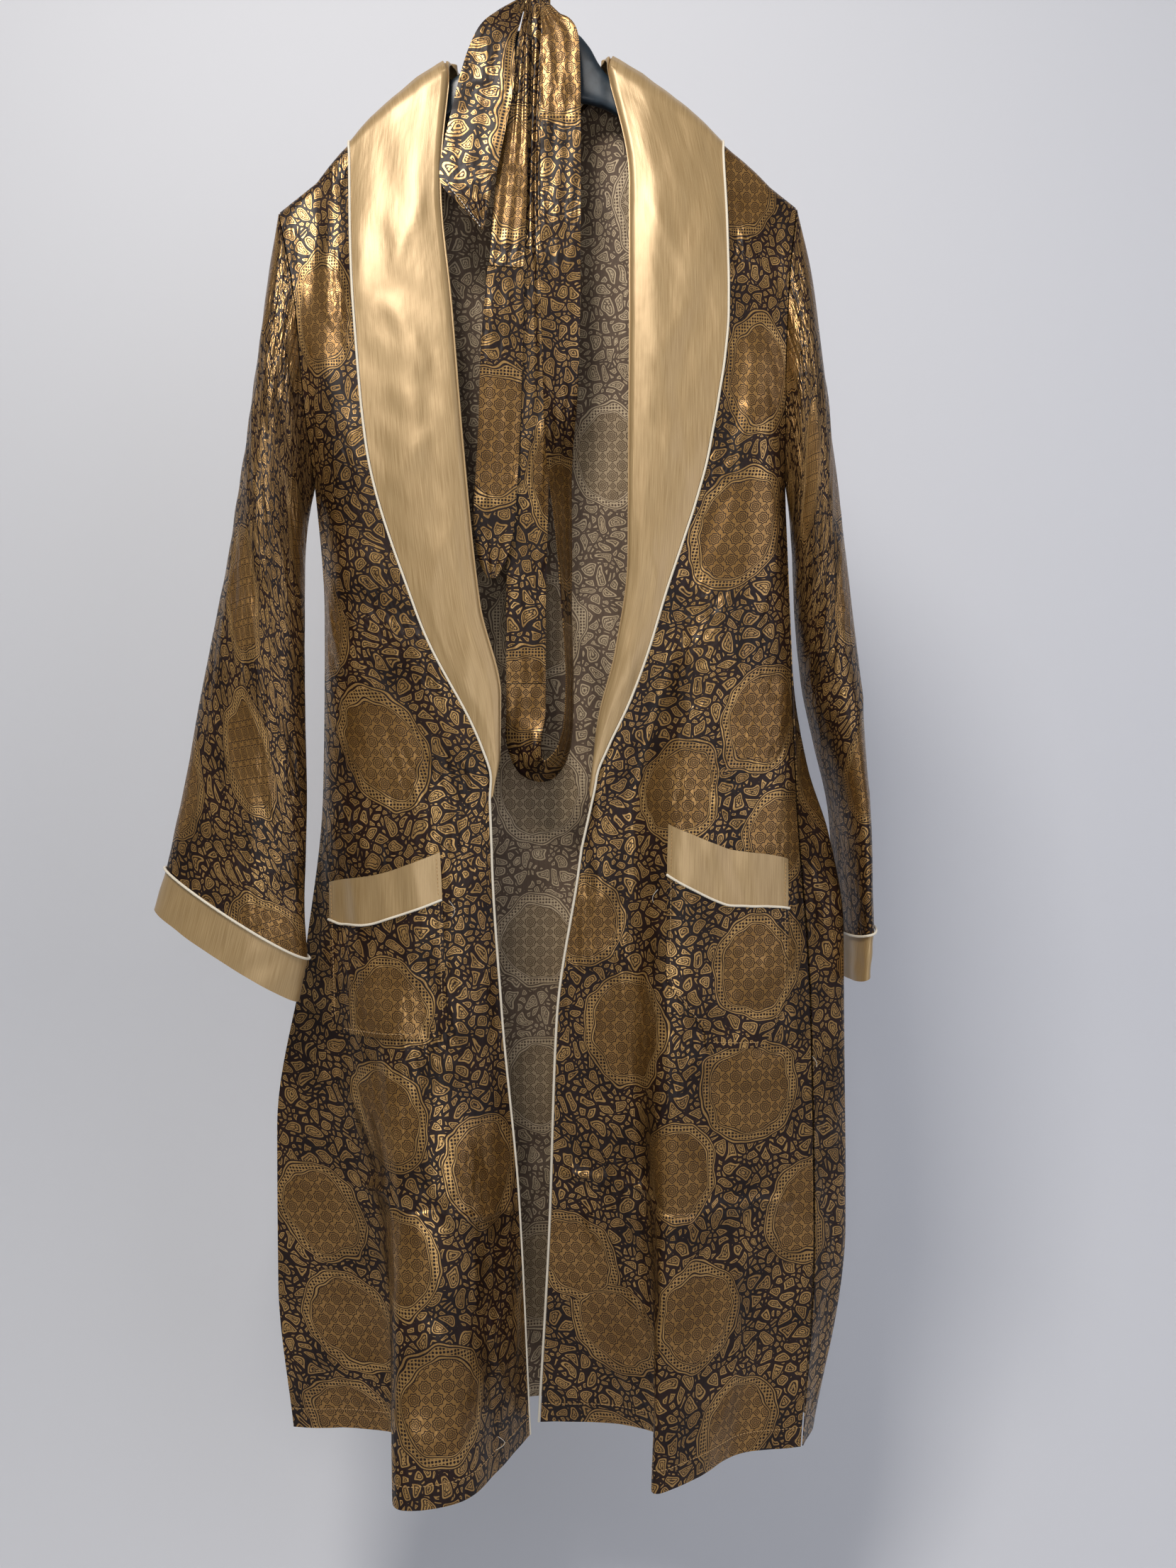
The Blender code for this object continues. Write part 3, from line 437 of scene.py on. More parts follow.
def draw_top(grid, axis, column):
    """The top edge moved onto the shoulder seams and the neck, fading as e to the minus drop over reach."""
    table = np.array(TOP_EDGE)
    shift = np.interp(grid[0, :, 0], table[:, 0], table[:, column]) - grid[0, :, axis]
    reach = np.exp(-(grid[0, :, 2] - grid[:, :, 2]) / TOP_REACH)
    grid[:, :, axis] += shift * reach


# Columns of the frame's walls between the fold lines of each panel
RIGHT_COUNTS = (2, 4, 3, 3, 4)
LEFT_COUNTS = (2, 3, 3, 3, 2, 4)
BACK_COUNTS = (2, 2, 3, 4, 4, 3, 2, 2)
right_grid = panel((RIGHT_SIDE, RIGHT_BASE, RIGHT_RIDGE, RIGHT_SHELF, RIGHT_COLLAR_LINE, RIGHT_EDGE),
                   RIGHT_COUNTS)
left_grid = panel((LEFT_SIDE, LEFT_SWELL, LEFT_SHELF, LEFT_RIDGE, LEFT_BASE, LEFT_COLLAR_LINE, LEFT_EDGE),
                  LEFT_COUNTS)
back_grid = panel((BACK_RIGHT_SEAM, BACK_RIGHT_TURN, BACK_RIGHT_FOLD, BACK_RIGHT_VALLEY, BACK_CENTRE,
                   BACK_LEFT_VALLEY, BACK_LEFT_FOLD, BACK_LEFT_TURN, BACK_LEFT_SEAM), BACK_COUNTS)
draw_top(right_grid, 2, 1)
draw_top(left_grid, 2, 1)
draw_top(back_grid, 1, 2)
draw_top(back_grid, 2, 1)
print("panel grids", right_grid.shape, left_grid.shape, back_grid.shape)

# %% [markdown]
# Flat cloth coordinates let one print run unstretched over every fold. Sideways, a point's coordinate is
# the length of cloth between it and one upright reference column; downwards it is simply its height,
# because the cloth hangs straight. Creases and ripples are then laid out in these coordinates too.

# %% Cloth coordinates
def lay_out(grid, column):
    """Flat place of each grid point: arc length along its row from a reference column, and its height."""
    step = np.linalg.norm(np.diff(grid, axis=1), axis=2)
    arc = np.concatenate([np.zeros((len(grid), 1)), np.cumsum(step, axis=1)], axis=1)
    way = np.sign(grid[-1, -1, 0] - grid[-1, 0, 0])
    u = way * (arc - arc[:, column:column + 1]) + grid[:, column:column + 1, 0].mean()
    return np.stack([u, grid[:, :, 2]], axis=-1)


def on_cloth(grid, cloth, table):
    """Rows of x, z and more from the front, with x and z replaced by the nearest point's flat place."""
    rows = np.array(table, dtype=float)
    flat_grid = grid[:, :, [0, 2]].reshape(-1, 2)
    for row in rows:
        row[:2] = cloth.reshape(-1, 2)[np.argmin(((flat_grid - row[:2]) ** 2).sum(axis=1))]
    return rows


right_cloth = lay_out(right_grid, right_grid.shape[1] * 2 // 3)
left_cloth = lay_out(left_grid, left_grid.shape[1] // 2)
back_cloth = lay_out(back_grid, back_grid.shape[1] // 2)
print("cloth width at the right front's hem", round(float(np.ptp(right_cloth[-1, :, 0]))), "mm")

# %% [markdown]
# Satin that was folded in a parcel keeps its packing creases: straight lines, sharp at the crest, across
# the skirt at one height and down it at a few. A crease here falls off as e to the minus distance over its
# width, bends a little on its way, and tapers out at both ends. Hanging ripples are soft waves whose
# crests run nearly upright. Both move points along the normal and fade out at seams.

# %% Creases and ripples
# A crease is this flat at its crest, in mm to each side. It bends sideways by this share of its length,
# as a sine that turns by this many radians from end to end
CREST = 0.8
CREASE_BEND = 0.012
BEND_TURN = 5.1


def crease(cloth, table):
    """Sum of creases, given by both ends, a width and a height: height times e to the minus distance over
    width, times the root of a half sine along the crease."""
    total = np.zeros(cloth.shape[:-1])
    for u0, v0, u1, v1, width, height in table:
        way = np.array([u1 - u0, v1 - v0], dtype=float)
        length = np.hypot(*way)
        way /= length
        rel = cloth - np.array([u0, v0])
        along = rel @ way
        bow = CREASE_BEND * length * np.sin(BEND_TURN * along / length + u0)
        off = np.abs(rel @ np.array([-way[1], way[0]]) - bow)
        taper = np.sqrt(np.clip(np.sin(np.pi * np.clip(along / length, 0, 1)), 0, 1))
        total += height * taper * np.exp(-np.maximum(off - CREST, 0) / width)
    return total


def ripple(cloth, seed, count, wave, height, lean=0.22):
    """Sum of sines across the cloth, each with its own wavelength and lean, swelling slowly downwards."""
    rng = np.random.default_rng(seed)
    total = np.zeros(cloth.shape[:-1])
    for _ in range(count):
        turn = rng.normal(0, lean)
        length = wave * rng.uniform(0.6, 1.7)
        phase, swell = rng.uniform(0, 2 * np.pi, 2)
        along = cloth[..., 0] * np.cos(turn) + cloth[..., 1] * np.sin(turn)
        swing = 0.5 + 0.5 * np.sin(cloth[..., 1] / rng.uniform(50, 110) + swell)
        total += np.sin(2 * np.pi * along / length + phase) * swing
    return total * height / np.sqrt(count)


def seam_fade(grid, reach, sides=(1, 1, 1, 0)):
    """From 0 at the first column, last column, first row and last row, where asked, to 1 past the reach."""
    step = np.linalg.norm(np.diff(grid, axis=1), axis=2)
    arc = np.concatenate([np.zeros((len(grid), 1)), np.cumsum(step, axis=1)], axis=1)
    drop = grid[0, :, 2] - grid[:, :, 2]
    rise = grid[:, :, 2] - grid[-1, :, 2]
    fade = np.ones(arc.shape)
    for asked, distance in zip(sides, (arc, arc[:, -1:] - arc, drop, rise)):
        if asked:
            t = np.clip(distance / reach, 0, 1)
            fade = fade * t * t * (3 - 2 * t)
    return fade


# Creases of the fronts: both ends sideways and in height, then width and height of the crease, in mm
RIGHT_CREASES = (
    (-240, -1108, -172, -1098, 4.5, 5.4), (-172, -1110, -118, -1104, 4.5, -3.6),
    (-124, -1112, -64, -1118, 4.5, 4.6), (-66, -1120, 8, -1116, 4.5, 5.8),
    (-214, -1010, -176, -1330, 7, 1.9), (-170, -980, -166, -1180, 6, -1.8),
    (-128, -1120, -124, -1320, 7, 2.1), (-84, -1130, -80, -1325, 6, -1.9), (-52, -1000, -46, -1320, 7, 1.6),
    (-220, -560, -196, -700, 8, 1.5), (-208, -420, -176, -520, 7, 1.5), (-186, -740, -150, -780, 7, 1.3),
    (-150, -1190, -100, -1245, 7, 1.2), (-205, -1210, -150, -1192, 8, 1.1), (-120, -870, -90, -1000, 8, 1.3),
    (-98, -900, -84, -966, 5, 2.0), (-176, -640, -120, -690, 7, 1.2))
LEFT_CREASES = (
    (2, -1096, 66, -1100, 4.5, 5.6), (60, -1102, 118, -1106, 4.5, 4.8),
    (116, -1108, 176, -1116, 4.5, -3.6), (170, -1116, 228, -1108, 4.5, 4.6),
    (224, -1108, 262, -1116, 4.5, 3.2), (60, -1126, 52, -1330, 6, 1.8),
    (104, -1110, 112, -1320, 7, 2.0), (150, -1128, 146, -1326, 7, -1.9), (204, -960, 214, -1330, 6, 2.3),
    (96, -700, 88, -850, 7, 1.5), (190, -560, 168, -690, 8, 1.5), (212, -420, 186, -540, 7, 1.5),
    (30, -930, 76, -1010, 8, 1.3), (120, -1190, 176, -1236, 8, 1.2), (206, -1190, 250, -1228, 8, 1.1),
    (112, -909, 146, -957, 5, 1.6), (170, -620, 128, -668, 7, 1.2))


# Hanging ripples of a front: how many waves, their usual length and their height, and how far from a
# seam the cloth is free, in mm
RIPPLES = ((5, 62, 1.0), (5, 27, 0.35))
FREE_REACH = 22


def relief(grid, cloth, outward, table, seed):
    """The panel's grid moved along its outward normals by its creases and ripples; also the normals."""
    lift = crease(cloth, table)
    for index, (count, wave, height) in enumerate(RIPPLES):
        lift = lift + ripple(cloth, seed + index, count, wave, height)
    moved = grid + normals(grid) * (outward * lift * seam_fade(grid, FREE_REACH))[..., None]
    return moved, normals(moved) * outward


right_grid, right_out = relief(right_grid, right_cloth, 1, RIGHT_CREASES, 11)
left_grid, left_out = relief(left_grid, left_cloth, -1, LEFT_CREASES, 23)
print("creases laid:", len(RIGHT_CREASES) + len(LEFT_CREASES))

# %% [markdown]
# Materials are node networks in real millimetres, because every cloth mesh carries its own flat
# coordinates. One function adds a node, sets its properties and fills its inputs in order, and everything
# below is built with it.

# %% One helper for nodes
def add(tree, kind, *values, stops=(), blend=None, into=None, **settings):
    """New shader node. The kind may carry an operation after a colon. Values fill the inputs in order,
    and each is a number, a colour, a socket or another node, whose first output is then used. Stops are a
    ramp's places and colours, and into fills inputs by their names."""
    kind, _, operation = kind.partition(":")
    node = tree.nodes.new("ShaderNode" + kind)
    if operation:
        node.operation = operation
    for key, value in settings.items():
        setattr(node, key, value)
    targets = list(zip([socket for socket in node.inputs if socket.enabled], values))
    targets += [(node.inputs[key], value) for key, value in (into or {}).items()]
    for socket, value in targets:
        if hasattr(value, "outputs"):
            value = next(out for out in value.outputs if out.enabled)
        if hasattr(value, "is_linked"):
            tree.links.new(value, socket)
        elif value is not None:
            socket.default_value = value
    for index, (place, colour) in enumerate(stops):
        steps = node.color_ramp.elements
        step = steps[index] if index < 2 else steps.new(place)
        step.position = place
        step.color = srgb(colour) if isinstance(colour, str) else (colour, colour, colour, 1)
    if blend:
        node.color_ramp.interpolation = blend
    return node


def material(name, **values):
    """New material: its tree and its shader, with the given inputs of the shader set by name."""
    made = bpy.data.materials.new(name)
    made.use_nodes = True
    shader = made.node_tree.nodes["Principled BSDF"]
    for key, value in values.items():
        shader.inputs[key.replace("_", " ")].default_value = value
    return made, made.node_tree, shader


def drive(tree, shader, **sources):
    """Links nodes into the shader's inputs by name."""
    for key, source in sources.items():
        if hasattr(source, "outputs"):
            source = next(out for out in source.outputs if out.enabled)
        tree.links.new(source, shader.inputs[key.replace("_", " ")])


# %% [markdown]
# The paisley: cells of a bent Voronoi net lock together like the print's beans, drops and five sided
# stones. Each cell holds a bent drop, turned by the cell's own random angle. How deep a point lies inside
# both the drop and its cell, in mm, gives the rings that every motif has: a gold outline, a dark line, a
# gold band with dark beads, a second dark line and a gold core. Small stones fill the ground between.

# %% The paisley between medallions
# The net's cells, how far it is bent, the gap from a cell's border to its motif, and the small stones
# between motifs, in mm
CELL = 14.5
DRIFT = 13.0
GROUND_GAP = 1.5
STONE = 5.8
# A drop's half length and half width in mm, its bend, how much wider some drops are, how far a drop
# reaches from its cell's middle, and how softly two outlines meet
DROP_HALF = 10.6
DROP_WIDTH = 5.2
DROP_BEND = 0.045
DROP_SPREAD = 1.4
DROP_ROUND = 8.0
SOFT_CORNER = 2.2
# A drop's half width along its length, both as shares
DROP_OUTLINE = (
    (0.02, 0.0), (0.10, 0.6), (0.28, 0.95), (0.48, 0.85), (0.68, 0.58), (0.86, 0.28), (0.98, 0.0))
# Rings of a motif from its edge inwards, the lane of its beads, and rings of a stone: the depth in mm
# where each starts, and how gold it is
MOTIF_RINGS = ((-3, 0), (0, 1), (1.0, 0.03), (1.7, 1), (2.7, 0.03), (3.3, 1), (4.2, 0.03), (4.9, 1))
BEAD_LANE = ((-3, 0), (1.7, 1), (2.6, 0))
STONE_RINGS = ((-3, 0), (0, 1), (0.75, 0.03), (1.2, 1))
# The random angles fill a whole turn, in radians
WHOLE_TURN = 6.283


def bands(tree, distance, low, span, stops):
    """Grey level by distance in mm: constant steps that start at the given distances."""
    share = add(tree, "MapRange", distance, low, low + span, 0.0, 1.0)
    places = [(max(0.0, (at - low) / span), level) for at, level in stops]
    return add(tree, "ValToRGB", share, stops=places, blend="CONSTANT")


def paisley(tree, cloth):
    """How gold the print is at each point, from 0 on the ground to 1 on a motif."""
    drift = add(tree, "TexNoise", cloth, 0.04, 1.0, noise_dimensions="2D")
    bent = add(tree, "VectorMath:MULTIPLY_ADD", drift.outputs["Color"], (DRIFT, DRIFT, 0.0), cloth)
    edge = add(tree, "TexVoronoi", bent, 1 / CELL, feature="DISTANCE_TO_EDGE", voronoi_dimensions="2D")
    cell = add(tree, "TexVoronoi", bent, 1 / CELL, voronoi_dimensions="2D")
    border = add(tree, "Math:MULTIPLY_ADD", edge, CELL, -GROUND_GAP)
    round_end = add(tree, "Math:MULTIPLY_ADD", cell, -CELL, DROP_ROUND)
    border = add(tree, "Math:SMOOTH_MIN", border, round_end, SOFT_CORNER)
    chance = add(tree, "SeparateXYZ", cell.outputs["Color"])
    local = add(tree, "VectorMath:SUBTRACT", bent, cell.outputs["Position"])
    angle = add(tree, "Math:MULTIPLY", chance, WHOLE_TURN)
    turned = add(tree, "VectorRotate", local, (0.0, 0.0, 0.0), angle, rotation_type="Z_AXIS")
    axes = add(tree, "SeparateXYZ", turned)
    bow = add(tree, "Math:MULTIPLY", axes.outputs["Y"], axes.outputs["Y"])
    aside = add(tree, "Math:MULTIPLY_ADD", bow, DROP_BEND, axes.outputs["X"])
    aside = add(tree, "Math:ABSOLUTE", add(tree, "Math:SUBTRACT", aside, 1.0))
    share = add(tree, "MapRange", axes.outputs["Y"], -DROP_HALF, DROP_HALF, 0.0, 1.0)
    width = add(tree, "ValToRGB", share, blend="B_SPLINE", stops=DROP_OUTLINE)
    half = add(tree, "Math:MULTIPLY_ADD", width, DROP_WIDTH, -0.5)
    spread = add(tree, "Math:MULTIPLY_ADD", chance.outputs["Z"], DROP_SPREAD, half)
    drop = add(tree, "Math:SUBTRACT", spread, aside)
    depth = add(tree, "Math:SMOOTH_MIN", border, drop, SOFT_CORNER)
    motif = bands(tree, depth, -3, 9, MOTIF_RINGS)
    pips = add(tree, "TexVoronoi", bent, 1 / 1.9, into={"Randomness": 0.3}, voronoi_dimensions="2D")
    pip = add(tree, "Math:LESS_THAN", pips, 0.25)
    lane = bands(tree, depth, -3, 9, BEAD_LANE)
    motif = add(tree, "Math:SUBTRACT", motif, add(tree, "Math:MULTIPLY", pip, lane), use_clamp=True)
    net = add(tree, "TexVoronoi", bent, 1 / STONE, feature="DISTANCE_TO_EDGE", voronoi_dimensions="2D")
    room = add(tree, "Math:SUBTRACT", -1.9, depth)
    stone = add(tree, "Math:MULTIPLY_ADD", net, STONE, -1.2)
    stone = add(tree, "Math:SMOOTH_MIN", stone, room, 1.0)
    stones = bands(tree, stone, -3, 9, STONE_RINGS)
    return add(tree, "Math:MAXIMUM", motif, stones)


print("rings in a motif:", len(MOTIF_RINGS), "and in a stone:", len(STONE_RINGS))

# %% [markdown]
# The medallion: a ring whose outline wobbles a little. From outside in it has a dark edge line, a gold
# line, a lattice of dark pips between two fine lines, and then a field of scalloped rosettes with small
# squares in the gaps, on a square net turned by 45 degrees.

# %% The medallions
# Step of the rosettes' net, how far the outline wobbles in all, the radius of the field of rosettes and
# that of the whole medallion, in mm
ROSETTE_PITCH = 13.0
WOBBLE = 14.0
FIELD_RADIUS = 35.2
OUTLINE_RADIUS = 47.0
# Rings from the middle outwards: the radius in mm where each starts, and how gold it is
BORDER_RINGS = ((30, 1), (35.0, 0), (35.8, 1), (36.8, 0), (37.7, 1), (43.6, 0), (44.7, 1), (45.8, 0))
PIP_LANE = ((30, 0), (38.3, 1), (43.1, 0))
ROSETTE_RINGS = ((0, 1), (0.9, 0), (1.7, 1), (2.5, 0), (3.3, 1), (4.3, 0), (5.2, 1))
SQUARE_RINGS = ((0, 1), (0.6, 0), (1.2, 1), (1.8, 0), (2.5, 1))
# Scallops round a rosette, and their depth in mm
SCALLOPS = 9.0
SCALLOP_DEPTH = 0.42


def medallion(tree, cloth, spot):
    """Level of the medallion at each point, and masks that are 1 inside its outline and in its field."""
    wobble = add(tree, "TexNoise", cloth, 0.035, 1.0, noise_dimensions="2D")
    pushed = add(tree, "VectorMath:MULTIPLY_ADD", wobble.outputs["Color"], (WOBBLE, WOBBLE, 0.0), spot)
    pushed = add(tree, "VectorMath:SUBTRACT", pushed, (WOBBLE / 2, WOBBLE / 2, 0.0))
    radius = add(tree, "VectorMath:LENGTH", pushed).outputs["Value"]
    border = bands(tree, radius, 30, 20, BORDER_RINGS)
    pips = add(tree, "TexVoronoi", cloth, 1 / 2.9, into={"Randomness": 0.12}, voronoi_dimensions="2D")
    pip = add(tree, "Math:LESS_THAN", pips, 0.36)
    lane = bands(tree, radius, 30, 20, PIP_LANE)
    pip = add(tree, "Math:MULTIPLY", pip, lane)
    border = add(tree, "Math:SUBTRACT", border, pip, use_clamp=True)
    net = add(tree, "VectorRotate", cloth, (0.0, 0.0, 0.0), math.radians(45), rotation_type="Z_AXIS")
    net = add(tree, "VectorMath:DIVIDE", net, (ROSETTE_PITCH, ROSETTE_PITCH, 1.0))
    whole = add(tree, "VectorMath:FRACTION", net)
    near = add(tree, "VectorMath:SUBTRACT", whole, (0.5, 0.5, 0.0))
    near = add(tree, "VectorMath:MULTIPLY", near, (ROSETTE_PITCH, ROSETTE_PITCH, 0.0))
    axes = add(tree, "SeparateXYZ", near)
    away = add(tree, "VectorMath:LENGTH", near).outputs["Value"]
    turn = add(tree, "Math:ARCTAN2", axes.outputs["Y"], axes.outputs["X"])
    petal = add(tree, "Math:COSINE", add(tree, "Math:MULTIPLY", turn, SCALLOPS))
    scallop = add(tree, "Math:MULTIPLY_ADD", petal, -SCALLOP_DEPTH, away)
    rosette = bands(tree, scallop, 0, 8, ROSETTE_RINGS)
    half_step = add(tree, "VectorMath:FRACTION", add(tree, "VectorMath:ADD", net, (0.5, 0.5, 0.0)))
    corner = add(tree, "VectorMath:ABSOLUTE", add(tree, "VectorMath:SUBTRACT", half_step, (0.5, 0.5, 0.0)))
    sides = add(tree, "SeparateXYZ", corner)
    reach = add(tree, "Math:MAXIMUM", sides.outputs["X"], sides.outputs["Y"])
    square = bands(tree, add(tree, "Math:MULTIPLY", reach, ROSETTE_PITCH), 0, 8, SQUARE_RINGS)
    field = add(tree, "Math:MULTIPLY", rosette, square)
    inside = add(tree, "Math:LESS_THAN", radius, FIELD_RADIUS)
    level = add(tree, "Mix", inside, border, field)
    return level, add(tree, "Math:LESS_THAN", radius, OUTLINE_RADIUS), inside


print("rings in a medallion's border:", len(BORDER_RINGS))

# %% [markdown]
# The satin is woven of dark brown warp and gold weft, so the two sides of the cloth differ: the face has
# bright gold floats on a near black ground, and the wrong side has dull taupe ground with pale motifs and
# hardly any shine. The height of the floats, the print's own slubs and soft crinkles share one bump.

# %% Printed satin, face and wrong side
def blended(tree, share, low, high):
    """Colour between two others. A colour mix has its share, first and second colour on inputs 0, 6, 7."""
    return add(tree, "Mix", data_type="RGBA", into={0: share, 6: low, 7: high}).outputs[2]


def printed(name, ground, gold, field, lines, shine, metal, crinkle):
    """The jacquard in three colour pairs, ground, motif and medallion field, and the field's own lines."""
    made, tree, shader = material(name)
    cloth = add(tree, "Attribute", attribute_name="cloth").outputs["Vector"]
    spot = add(tree, "Attribute", attribute_name="medallion").outputs["Vector"]
    level, mask, inside = medallion(tree, cloth, spot)
    pattern = add(tree, "Mix", mask, paisley(tree, cloth), level)
    cloudy = add(tree, "TexNoise", cloth, 0.021, 3.0, noise_dimensions="2D")
    cloudy = add(tree, "MapRange", cloudy, 0.35, 0.65, 0.0, 1.0)
    threads = add(tree, "VectorMath:MULTIPLY", cloth, (1.6, 0.05, 1.0))
    slub = add(tree, "TexNoise", threads, 1.0, 2.0, noise_dimensions="2D")
    pairs = [(cloudy, srgb(low), srgb(high)) for low, high in (ground, gold, field)]
    dark, light, rich = [blended(tree, *pair) for pair in pairs]
    light = blended(tree, inside, light, rich)
    dark = blended(tree, inside, dark, srgb(lines))
    streak = add(tree, "MapRange", slub, 0.3, 0.7, 0.86, 1.12)
    base = add(tree, "VectorMath:SCALE", blended(tree, pattern, dark, light), into={"Scale": streak})
    folds = add(tree, "VectorMath:MULTIPLY", cloth, (1.0, 0.5, 1.0))
    crumple = add(tree, "TexNoise", folds, 0.045, 3.0, 0.5, noise_dimensions="2D")
    patches = add(tree, "TexNoise", cloth, 0.009, 1.0, noise_dimensions="2D")
    height = add(tree, "MapRange", patches, 0.4, 0.65, 0.35 * crinkle, 2.2 * crinkle)
    height = add(tree, "Math:MULTIPLY", crumple, height)
    height = add(tree, "Math:MULTIPLY_ADD", pattern, 0.05, height)
    height = add(tree, "Math:MULTIPLY_ADD", slub, 0.03, height)
    bump = add(tree, "Bump", into={"Strength": 1.0, "Distance": MM, "Height": height})
    drive(tree, shader, Base_Color=base, Normal=bump,
          Specular_IOR_Level=add(tree, "MapRange", pattern, 0.0, 1.0, 0.25, 0.6),
          Metallic=add(tree, "Math:MULTIPLY", pattern, metal),
          Roughness=add(tree, "MapRange", pattern, 0.0, 1.0, shine[0], shine[1]))
    return made


satin_face = printed("printed satin face", ("#170b07", "#25140e"), ("#93703e", "#b58f55"),
                     ("#997440", "#856230"), "#2c1a0b", (0.42, 0.31), 0.55, 2.4)
satin_wrong = printed("printed satin wrong side", ("#5a4a3d", "#6b594a"), ("#b39d7b", "#c8b391"),
                      ("#aa9472", "#988262"), "#5b4936", (0.62, 0.55), 0.05, 1.2)
print("nodes in each side of the print:", len(satin_face.node_tree.nodes))

# %% [markdown]
# The collar, cuffs and pocket bands are one plain gold satin. Its shine is long and soft along the
# threads, so fine upright slubs tilt the surface a little and a slow crinkle breaks up the highlights.
# The piping is a cream satin strip cut on the bias, whose twill lines wind round the cord.

# %% Plain satins, threads and hanger
def plain_satin(name, low, high, roughness, crinkle, slub_height):
    """Satin of one colour with slubs along its threads and a soft crinkle, both in mm of height."""
    made, tree, shader = material(name, Metallic=0.3, Specular_IOR_Level=0.9, Sheen_Weight=0.1)
    cloth = add(tree, "Attribute", attribute_name="cloth").outputs["Vector"]
    threads = add(tree, "VectorMath:MULTIPLY", cloth, (1.1, 0.03, 1.0))
    slub = add(tree, "TexNoise", threads, 1.0, 3.0, noise_dimensions="2D")
    folds = add(tree, "VectorMath:MULTIPLY", cloth, (1.0, 0.4, 1.0))
    soft = add(tree, "TexNoise", folds, 0.032, 3.0, 0.5, noise_dimensions="2D")
    base = add(tree, "ValToRGB", slub, stops=((0.25, low), (0.75, high)))
    height = add(tree, "Math:MULTIPLY", soft, crinkle)
    height = add(tree, "Math:MULTIPLY_ADD", slub, slub_height, height)
    bump = add(tree, "Bump", into={"Strength": 1.0, "Distance": MM, "Height": height})
    drive(tree, shader, Base_Color=base, Normal=bump,
          Roughness=add(tree, "MapRange", slub, 0.2, 0.8, roughness - 0.04, roughness + 0.06))
    return made


gold_face = plain_satin("gold satin", "#9f8254", "#b69a6c", 0.38, 0.8, 0.045)

piping_cream, tree, shader = material("cream piping", Roughness=0.42, Sheen_Weight=0.3)
place = add(tree, "TexCoord").outputs["Object"]
twill = add(tree, "TexWave", place, 520.0, 1.5, bands_direction="DIAGONAL")
drive(tree, shader, Base_Color=add(tree, "ValToRGB", twill, stops=((0.0, "#d8cdb4"), (1.0, "#efe8d6"))),
      Normal=add(tree, "Bump", into={"Strength": 0.5, "Distance": 0.2 * MM, "Height": twill}))


def thread(name, low, high):
    """Spun sewing thread: two colours twisted round each other."""
    made, tree, shader = material(name, Roughness=0.5, Sheen_Weight=0.4)
    place = add(tree, "TexCoord").outputs["Object"]
    twist = add(tree, "TexWave", place, 1600.0, 0.6, bands_direction="DIAGONAL")
    drive(tree, shader, Base_Color=add(tree, "ValToRGB", twist, stops=((0.2, low), (0.8, high))))
    return made


gold_thread = thread("gold sewing thread", "#8a6430", "#d9b272")
white_thread = thread("white sewing thread", "#c9c2b4", "#f4f0e6")

hanger_plastic, tree, shader = material("moulded plastic", IOR=1.5)
place = add(tree, "TexCoord").outputs["Object"]
grain = add(tree, "TexNoise", place, 900.0, 3.0)
worn = add(tree, "TexNoise", place, 60.0, 4.0)
drive(tree, shader, Base_Color=add(tree, "ValToRGB", worn, stops=((0.35, "#1c252d"), (0.7, "#2a3944"))),
      Roughness=add(tree, "MapRange", worn, 0.3, 0.7, 0.28, 0.42),
      Normal=add(tree, "Bump", into={"Strength": 0.35, "Distance": 0.05 * MM, "Height": grain}))

hook_steel, tree, shader = material("plated wire", Metallic=1.0)
place = add(tree, "TexCoord").outputs["Object"]
brushed = add(tree, "TexNoise", place, 400.0, 5.0)
drive(tree, shader, Base_Color=add(tree, "ValToRGB", brushed, stops=((0.3, "#a9adb3"), (0.7, "#cdd1d6"))),
      Roughness=add(tree, "MapRange", brushed, 0.3, 0.7, 0.16, 0.34),
      Normal=add(tree, "Bump", into={"Strength": 0.2, "Distance": 0.03 * MM, "Height": brushed}))

backdrop_white = material("backdrop", Roughness=0.9, Base_Color=srgb("#dcdfe5"))[0]
print("materials:", len(bpy.data.materials))

# %% [markdown]
# The back hangs behind everything and shows its wrong side between the fronts. Its right side faces away.
# The print's medallions sit where the photograph shows them; the hidden rest of the cloth has the same
# medallions in a plain half drop repeat. Both tables give the place seen from the front and half sizes.

# %% The back
# Thickness of the shells and of the frame's walls, the gap at its seams, the piping's radius, and how far
# off a wall's middle a second wall lies on it, in mm
CLOTH = 0.8
WALL = 1.2
SEAM_GAP = 0.3
PIPING_RADIUS = 1.1
LIE_ON = WALL + SEAM_GAP
# Least distance in mm from a placed medallion to one of the plain repeat
SPOT_CLEAR = 118.0


def with_repeat(spots, cloth):
    """The placed medallions, and those of the plain repeat that keep clear of them."""
    flat = cloth.reshape(-1, 2)
    repeat = print_spots(flat.min(axis=0), flat.max(axis=0))
    near = np.linalg.norm(repeat[:, None, :2] - spots[None, :, :2], axis=2).min(axis=1)
    return np.concatenate([spots, repeat[near > SPOT_CLEAR]])


